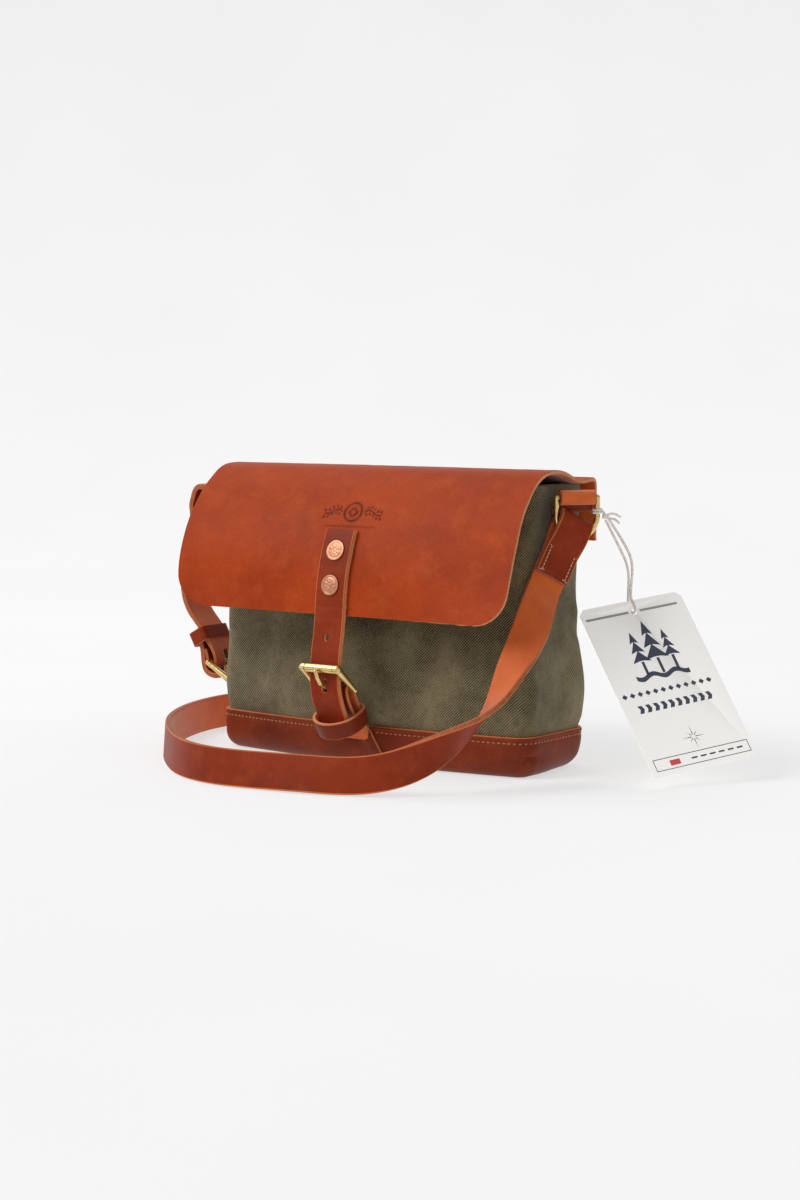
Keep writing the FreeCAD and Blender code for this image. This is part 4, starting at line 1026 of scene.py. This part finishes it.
def stamp_depth(x, z):
    """Pressed ornament: a lozenge in a ring between two leafy sprigs, over a thin line of beads."""
    x, z = x - STAMP_X, z - STAMP_Z
    depth = hill(np.hypot(x, z * 1.15), 7.2, 0.75)
    depth = np.maximum(depth, hill(np.abs(x) + np.abs(z) * 1.2, 3.6, 0.8))
    side = np.abs(x)
    stem = hill(z - 1.6 * np.sin((side - 9) * 0.35), 0, 0.6) * (side > 9) * (side < 24.5)
    depth = np.maximum(depth, stem)
    for k in range(5):
        cx = 11.0 + 3.1 * k
        base = 1.6 * np.sin((cx - 9) * 0.35)
        for lean in (-1, 1):
            u, v = side - cx - 0.9, z - base - lean * 2.3
            along, across = u * 0.62 + lean * v * 0.78, -u * 0.78 * lean + v * 0.62
            depth = np.maximum(depth, np.exp(-((along / 1.5) ** 2 + (across / 0.75) ** 2)))
    beads = hill(z, -10.0, 0.65) * (0.5 + 0.5 * np.cos(2 * math.pi * x / 2.4)) * (side < 22)
    return np.maximum(depth, beads)


def crowded(places, fine, coarse, edge, count):
    """Grid lines over the places: 0.7 mm apart where fine is true, coarse mm elsewhere, closer together at the edge."""
    density = np.where(fine, 1 / 0.7, 1 / coarse) + edge
    share = np.r_[0, np.cumsum(density)][:-1] / density.sum()
    lines = np.interp(np.linspace(0, 1, count), share, places)
    lines[-1] = 1.0
    return lines


def make_flap():
    """One sheet from the back of the bag over its top, with rounded free corners, waves and the pressed stamp."""
    profiles = [flap_profile(side) for side in (FLAP_LEFT, FLAP_MIDDLE, FLAP_RIGHT)]
    total = np.mean([lengths(p)[-1] for p in profiles])
    middle = profiles[1]
    on_front = middle[:, 1] < -20
    s = (lengths(middle) / lengths(middle)[-1])[on_front]
    stamp = [s[np.argmin(np.abs(middle[on_front][:, 2] - z))] for z in (192.5, 168.0)]
    s = np.linspace(0, 1, 2001)
    rows = crowded(s, (s > stamp[0]) & (s < stamp[1]), 3.2, hill(s, 1, 0.01) / 1.2, 122)
    s = np.linspace(-1, 1, 2001)
    columns = crowded(s, np.abs(s * FLAP_HALF - STAMP_X) < 27, 3.4, hill(np.abs(s), 1, 0.02) / 1.5, 148)

    to_free = (1 - rows) * total
    short = np.clip(FLAP_CORNER_R - to_free, 0, FLAP_CORNER_R)
    half = FLAP_HALF - FLAP_CORNER_R + np.sqrt(FLAP_CORNER_R ** 2 - short ** 2)
    x = half[:, None] * columns[None, :]
    left, right = smooth((-x - 22) / 112), smooth((x - 22) / 112)
    at = [np.stack([np.interp(rows, lengths(p) / lengths(p)[-1], p[:, c]) for c in (1, 2)], 1) for p in profiles]
    y, z = (at[1][:, None, c] + left * (at[0] - at[1])[:, None, c] + right * (at[2] - at[1])[:, None, c]
            for c in (0, 1))
    grid = np.stack([x, y, z], -1)
    face = grid_side(grid[60:], (0, -1, 0.3))

    down = rows[:, None] * total
    clear = smooth((np.abs(x) - 16) / 20)      # of the closing strap, which holds the leather flat
    wave = 0.55 * smooth((down - 75) / 60) * ripple(x / 95, down / 70, 21) * clear
    wave = wave + 0.10 * ripple(x / 16, down / 14, 22)
    wave = wave + 0.5 * hill(to_free[:, None], 0, 9) * ripple(x / 60, down / 300, 23) * clear
    mark = stamp_depth(x, z) * (y < -30)
    hollow = smooth(1.25 - np.maximum(np.abs(x - STAMP_X) / 26, np.abs(z - 179.5) / 12)) * (y < -30)
    outer = grid + grid_normals(grid) * face * (wave - STAMP_DEEP * mark - 0.25 * hollow)[..., None]
    flap = sheet("flap_leather", outer, LEATHER, [FLAP_GRAIN, RIM, FLAP_EDGE, FLESH, PRESSED],
                 np.stack([x, down + 0 * x], -1), flip=face, rim=0.55)
    deep = (mark[1:, 1:] + mark[:-1, :-1] + mark[1:, :-1] + mark[:-1, 1:]).ravel() / 4 > 0.42
    zones = np.zeros(len(flap.data.polygons), np.int32)
    flap.data.polygons.foreach_get("material_index", zones)
    zones[:len(deep)][deep] = 4
    flap.data.polygons.foreach_set("material_index", zones)
    return finish_piece(flap, "flap_leather", "flap", "flap_back",
                        blend=("bag", "flap", (0, 40.9, 196), (0, 31, 204)))


UPPER_RIVET_Z, LOWER_RIVET_Z = 152.5, 129.5
TAIL_OUTER = [(-86.2, 96.0), (-88.4, 84.0), (-89.7, 74.0), (-90.4, 64.0), (-89.4, 56.0), (-86.4, 47.0), (-83.4, 38.0),
              (-81.6, 28.0)]       # of the closing strap below the flap, as (y, z)


def flap_face(z):
    """Point on the middle of the flap's front at a height, and the way it faces."""
    p = flap_profile(FLAP_MIDDLE, 0.5)
    p = p[p[:, 1] < -30]
    k = int(np.argmin(np.abs(p[:, 2] - z)))
    way = unit(p[min(k + 3, len(p) - 1)] - p[k - 3])
    return p[k], np.array([0, way[2], -way[1]])


def make_closing_strap():
    """Strap riveted to the flap, pulled through the buckle, with soft creases where it bends off the flap's edge."""
    rows = []
    for z in (167, 160, 153, 146, 139, 132, 125, 118):
        at, out = flap_face(z)
        rows.append(at + out * (STRAP_THICK / 2 + 0.12))
    tail = [(0, y + 2.0 + 2.4 * smooth((46 - z) / 16), z) for y, z in TAIL_OUTER]
    line = cubic([row(p, X_AXIS) for p in rows + tail], 1.1)
    z = line[:, 2]
    line[:, 6] += 0.35 * hill(z, UPPER_RIVET_Z, 7) + 0.35 * hill(z, LOWER_RIVET_Z, 7)
    crease = sum(0.28 * hill(z, c, 1.3) * s for c, s in ((119, 1), (115.5, -1), (112, 0.8), (107.5, -0.7), (104, 0.5)))
    line[:, 1] -= crease * (z < 122)
    strap = ribbon("closing_strap_leather", line, [STRAP_GRAIN, RIM, FLAP_EDGE, FLESH], 1, columns=12, seed=8,
                   cup=-0.12)
    punch(strap, *prism_between((0, -95, 94), (0, -81, 94), circle(2.2, 24, 1.25), Z_AXIS), 2)
    punch(strap, *prism_between((0, -98, 60.5), (0, -80, 60.5), bar_shape(-2.4, -5, 2.4, 5), Z_AXIS), 2)
    return finish_piece(strap, "flap_leather", "closing_strap", "closing_strap_tail", body="flap")


def make_rivet(name, z):
    """Domed cap with a pressed ring and petals, on its shank."""
    at, out = flap_face(z)
    seat = at + out * (STRAP_THICK + 0.15)
    up = np.cross(out, X_AXIS)
    angles = np.linspace(0, 2 * math.pi, 96, endpoint=False)
    around = np.cos(angles)[:, None] * X_AXIS + np.sin(angles)[:, None] * up
    shank_and_rim = [(2.0, -6.9), (2.0, 0.05), (6.9, 0.0), (7.3, 0.25), (7.35, 0.6), (7.15, 0.95)]
    rings = [seat + radius * around + lift * out for radius, lift in shank_and_rim]
    for radius in np.r_[np.arange(6.9, 0.6, -0.32), 0.35]:
        lift = 1.45 - 0.010 * radius ** 2 - 0.24 * hill(radius, 5.5, 0.40) - 0.15 * hill(radius, 1.5, 0.3)
        lift = lift - 0.16 * hill(radius, 3.5, 1.1) * (0.5 + 0.5 * np.cos(8 * angles)) ** 2
        rings.append(seat + radius * around + lift[:, None] * out)
    cap = loft(name + "_cap", np.array(rings), [COPPER], 0)
    return finish_piece(cap, "copper", name, body="flap")


make_flap()
make_closing_strap()
make_rivet("rivet_upper", UPPER_RIVET_Z)
make_rivet("rivet_lower", LOWER_RIVET_Z)


# ---- shoulder strap --------------------------------------------------------------------------------

# The strap's middle line with the direction of its width, which turns by half a turn on the way down to the floor.
SHOULDER = [
    ((143.3, -39.5, 118.0), (0.68, 0.56, -0.48)), ((144.6, -54.7, 98.0), (0.92, 0.26, -0.28)),
    ((143.3, -70.3, 79.5), (0.99, -0.12, -0.04)), ((141.0, -86.0, 60.0), (0.86, -0.48, 0.18)),
    ((132.8, -103.3, 43.0), (0.54, -0.68, 0.5)), ((120.0, -125.0, 29.5), (0.02, -0.56, 0.83)),
    ((102.0, -142.0, 19.0), (-0.27, -0.14, 0.95)), ((78.0, -154.0, 13.5), (-0.17, 0.16, 0.97)),
    ((44.0, -165.5, 13.0), (-0.06, 0.3, 0.95)), ((8.0, -172.0, 12.9), (0.0, 0.24, 0.97)),
    ((-28.0, -174.0, 12.9), (0.04, 0.18, 0.98)), ((-62.0, -164.0, 12.8), (0.08, 0.1, 0.99)),
    ((-96.0, -140.0, 12.8), (0.08, 0.05, 1.0)), ((-130.0, -107.0, 12.9), (0.06, 0.04, 1.0)),
    ((-159.0, -70.0, 13.0), (0.04, 0.02, 1.0))]
BEHIND = [(-180, -31), (-194, 12), (-194, 56), (-172, 94), (-132, 116), (-88, 126), (-42, 132), (-6, 128), (16, 106),
          (12, 80), (-14, 66), (-52, 62), (-92, 62), (-124, 62)]      # standing on edge on the floor
SHOULDER += [((x, y, 13.0), Z_AXIS) for x, y in BEHIND]
SHOULDER += [((-146.0, 47.0, 14.4), (0.0, 0.2, 0.98)), ((-150.5, 27.0, 18.8), (0.0, 0.34, 0.94)),
             ((-146.0, 9.5, 24.0), (0.0, 0.6, 0.8))]
LEFT_TAIL = [((-140.6, -1.5, 31.5), (0.0, 0.95, 0.30))]
LEFT_TAIL += [(place, Y_AXIS) for place in (
    (-138.3, -4.0, 45.5), (-141.6, -4.0, 52.6), (-152.0, -4.0, 51.0), (-162.0, -4.0, 48.2), (-170.5, -4.0, 51.6),
    (-173.2, -4.0, 61.0), (-174.4, -4.4, 70.6), (-180.4, -5.0, 81.4))]
LEADS = (12.0, 8.0, 4.0, 1.5, 0.0)
PLY = 2.1                 # from the middle of a sewn pair of straps to the middle of each
RIGHT_PATCH, LEFT_PATCH = 32.5, 35.0
RIGHT_BLEND = ("bag", "ring_right", (143, -40, 118), (143, -20, 165))
LEFT_BLEND = ("bag", "ring_left", (-188, -8, 128), (-180, -8, 160))
PRONG_REACH = (0.86, 0, -0.51)


def right_frame():
    """Right-hand end of the strap: where it touches the ring's bow, and its width, run and outward directions."""
    lean, swing = math.radians(28.5), math.radians(9.0)
    bar = np.array([math.cos(RIGHT_TURN), math.sin(RIGHT_TURN), 0])
    out = np.array([math.sin(RIGHT_TURN), -math.cos(RIGHT_TURN), 0])
    wide = bar * math.cos(lean) - Z_AXIS * math.sin(lean)
    flat = -bar * math.sin(lean) - Z_AXIS * math.cos(lean)
    touch = RIGHT_BAR - Z_AXIS * RING_LEG + flat * RING_R
    down = flat * math.cos(swing) + out * math.sin(swing)
    out = out * math.cos(swing) - flat * math.sin(swing)
    return touch + out, wide, down, out


def left_frame():
    """The same for the short strap on the left ring."""
    touch = LEFT_BAR + np.array([math.sin(LEFT_TILT), 0, -math.cos(LEFT_TILT)]) * (RING_LEG + RING_R)
    down = unit([-0.33, 0, -0.944])
    out = np.cross(Y_AXIS, down)
    return touch - out * 1.8, Y_AXIS, down, out


def fold_rows(end, gap, patch):
    """Rows from the sewn end of the patch, up round the ring and back down to where the strap goes on."""
    touch, wide, down, out = end
    layer = gap + 2.0
    front = [(patch, PLY), (patch - 8, PLY), (patch - 16, PLY), (14.5, 2.25), (8.5, 3.9), (3.0, layer - 0.3),
             (-3.0, layer), (-8.0, layer - 0.1), (-11.6, layer * 0.72), (-13.2, layer * 0.36), (-13.5, 0)]
    whole = front + [(run, -off) for run, off in front[:-1][::-1] if run < 20]
    return [row(touch + down * run + out * off, wide) for run, off in whole]


def lead_rows(end, patch):
    """Rows behind the end of the patch that start the strap's free run straight."""
    touch, wide, down, out = end
    start = touch + down * patch - out * PLY
    return [row(start - down * before, wide) for before in LEADS]


def make_shoulder():
    """Long strap in two pieces that meet near the left buckle."""
    right = right_frame()
    rows = fold_rows(right, 3.9, RIGHT_PATCH) + lead_rows(right, 36.0) + [row(*s) for s in SHOULDER + LEFT_TAIL]
    line = cubic(rows, 2.2)
    k = int(np.argmin(np.linalg.norm(line[:, :3] - np.array(LEFT_TAIL[0][0]), axis=1)))
    strap = ribbon("shoulder_strap_leather", line[:k + 1], STRAP_LEATHER, -1, seed=12, wander=0.1)
    nodes = ["strap_end_right"] + ["shoulder_strap_%d" % n for n in range(1, 9)]
    finish_piece(strap, "strap_leather", *nodes, blend=RIGHT_BLEND)
    tail = ribbon("shoulder_strap_end", line[k:], STRAP_LEATHER, -1, seed=13)
    prong_slot(tail, LEFT_HEEL, Y_AXIS, PRONG_REACH, 3, 18, -2, 14, 2.4)
    finish_piece(tail, "strap_leather", "shoulder_strap_tail",
                 blend=("bag", "strap_buckle", (-139.5, -3, 36), (-140.5, -3, 50)))
    return right


LEFT_END = [(-189.3, -7.6, 125.0), (-189.0, -7.0, 107.0), (-183.6, -6.0, 94.9), (-175.6, -5.0, 85.2),
            (-167.6, -4.3, 74.0), (-162.4, -4.0, 65.6), (-160.9, -4.0, 59.8), (-161.9, -4.0, 56.0),
            (-164.7, -4.0, 54.8), (-167.4, -4.0, 56.3), (-168.5, -4.0, 60.0), (-169.6, -4.0, 64.6),
            (-170.8, -4.0, 68.0)]


def make_left_strap():
    """Short strap folded round the left ring, pared thinner where it turns round the buckle's heel bar."""
    left, pared = left_frame(), 8
    rows = fold_rows(left, 4.8, LEFT_PATCH) + lead_rows(left, LEFT_PATCH)
    rows += [row(p, Y_AXIS) for p in LEFT_END[:-pared]] + [row(p, Y_AXIS, thick=LEATHER) for p in LEFT_END[-pared:]]
    strap = ribbon("buckle_strap_leather", cubic(rows, 1.4), STRAP_LEATHER, -1, seed=15)
    prong_slot(strap, LEFT_HEEL, Y_AXIS, PRONG_REACH, -5.2, 9, -9, 9, 2.3)
    finish_piece(strap, "strap_leather", "strap_fold_left", "buckle_strap", blend=LEFT_BLEND)
    return left


def make_loop():
    """Closed band with rounded corners round both layers of the short strap."""
    along = unit([-0.487, 0, 0.873])
    reach = np.cross(Y_AXIS, along)
    middle, tall, thick = np.array([-175.2, -5.0, 77.4]), 11.0, 2.0
    half, deep, r = 14.2, 7.1, 2.2
    corners = []
    for sx, sy, start in ((1, 1, 0), (-1, 1, 90), (-1, -1, 180), (1, -1, 270)):
        for a in np.radians([start, start + 30, start + 60, start + 90]):
            corners.append((sx * (half - r) + r * math.cos(a), sy * (deep - r) + r * math.sin(a)))
    corners.append(corners[0])
    plan = spread(np.array([(x, y, 0) for x, y in corners]), 1.2)[:-1]
    rows = np.array([row(middle + Y_AXIS * x + reach * y, along, tall, thick) for x, y, _ in plan])
    loop = ribbon("strap_loop_leather", rows, STRAP_LEATHER, -1, closed=True, columns=5)
    return finish_piece(loop, "strap_leather", "strap_loop", body="bag")


TAB_WIDE = 26.0
TAB_FEET = [(bar[1] + 8.0, side) for bar, side in ((RIGHT_BAR, 1), (LEFT_BAR, -1))]    # middle of each sewn foot


def make_tab(name, bar_at, turn, side):
    """Strip sewn to the end of the bag, rolled once round the ring's bar."""
    along = np.array([math.cos(turn), math.sin(turn), 0])
    inward = unit(-side * X_AXIS - along * (along[0] * -side))
    wall, y = side * (HALF_WIDTH + CANVAS_OUT + 1.45), bar_at[1] + 8.0
    rows = [row((wall, y, z), Y_AXIS, TAB_WIDE, LEATHER) for z in (158, 164, 170, 176, 181)]
    rows.append(row(bar_at + inward * 4.4 - Z_AXIS * 7.5, along, TAB_WIDE, LEATHER))
    for degrees in range(-15, 300, 30):
        a = math.radians(degrees)
        r = 3.75 + max(degrees - 200, 0) * 0.004
        place = bar_at + inward * r * math.cos(a) + Z_AXIS * r * math.sin(a)
        rows.append(row(place, along, TAB_WIDE, LEATHER if degrees < 250 else 2.4))
    tab = ribbon(name + "_leather", cubic(rows, 0.9), STRAP_LEATHER, -side, seed=17)
    return finish_piece(tab, "strap_leather", name, body="bag")


RIGHT = make_shoulder()
LEFT = make_left_strap()
make_loop()
make_tab("ring_tab_right", RIGHT_BAR, RIGHT_TURN, 1)
make_tab("ring_tab_left", LEFT_BAR, math.radians(90.0), -1)


# ---- stitches --------------------------------------------------------------------------------------

def base_seam(right_piece):
    """Runs of the seam round the base on one of its pieces, as (line, outward normals), clear of the tongue."""
    rings, outs = plan_rings([(1.55, 24.7)])
    half_turn = -len(rings[0]) // 2
    line, out = np.roll(rings[0], half_turn, 0), np.roll(outs[0], half_turn, 0)
    lap = lap_distance(line)
    if right_piece:
        keep = lap > 1.0
    else:
        keep = (lap < -2.5) & ~((np.abs(line[:, 0]) < 18) & (line[:, 1] < 0))
        line = line + out * lap_rise(line)[:, None]
    runs = np.split(np.arange(len(line)), np.flatnonzero(np.diff(keep.astype(int))) + 1)
    return [(line[run], out[run]) for run in runs if keep[run[0]] and len(run) > 2]


def patch_seams(end, patch):
    """Two rows along the folded end, each tied off by a short row that crosses it at both of its ends."""
    touch, wide, down, out = end
    first, last, lift, across = 12.5, patch - 1.6, 4.1, 9.4
    seams = []
    for place in (-across, across):
        for face in (out, -out):
            line = np.array([touch + down * r + wide * place + face * lift for r in np.linspace(first, last, 14)])
            seams.append((line, np.tile(face, (14, 1))))
    for r in (first, last):
        for side in (-1, 1):
            line = np.array([touch + down * (r + 0.25 * (a - across)) + wide * side * a + out * lift
                             for a in np.linspace(7.2, 11.6, 5)])
            seams.append((line, np.tile(out, (5, 1))))
    return seams


def tab_seams():
    """A square of stitches on the foot of each ring tab."""
    seams, half, low, high = [], 9.5, 161.5, 178.5
    for y, side in TAB_FEET:
        x = side * (HALF_WIDTH + CANVAS_OUT + 2.9)
        sides = [[(x, y + d, z) for d in np.linspace(-half, half, 8)] for z in (low, high)]
        sides += [[(x, y + d, z) for z in np.linspace(low, high, 8)] for d in (-half, half)]
        seams += [(np.array(line), np.tile([side, 0, 0], (8, 1))) for line in sides]
    return seams


def make_stitches():
    hem, outs = plan_rings([(CANVAS_OUT + 1.05, 192.6)])
    hem = hem[0] + outs[0] * slump(hem)[0][:, None]
    for name, seams, thread, pitch, gap, radius, place in (
            ("base_stitches", base_seam(False) + base_seam(True), THREAD_TAN, 3.9, 1.5, 0.55, {"body": "bag"}),
            ("strap_stitches_right", patch_seams(RIGHT, RIGHT_PATCH), THREAD_LIGHT, 2.8, 0.6, 0.45,
             {"blend": RIGHT_BLEND}),
            ("strap_stitches_left", patch_seams(LEFT, LEFT_PATCH), THREAD_LIGHT, 2.8, 0.6, 0.45, {"blend": LEFT_BLEND}),
            ("hem_stitches", [(hem, outs[0])], THREAD_OLIVE, 3.2, 0.7, 0.35, {"body": "bag"}),
            ("tab_stitches", tab_seams(), THREAD_LIGHT, 3.2, 0.6, 0.42, {"body": "bag"})):
        finish_piece(stitches(name, seams, thread, pitch, gap, radius), "string", **place)


make_stitches()


# ---- carried-over metal and board ------------------------------------------------------------------

def paint_nodes():
    for name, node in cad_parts.items():
        if node.hide_render:
            continue
        finish = BOARD if name == "base_board" else COPPER if "burr" in name else BRASS
        node.data.materials.clear()
        node.data.materials.append(finish)


paint_nodes()
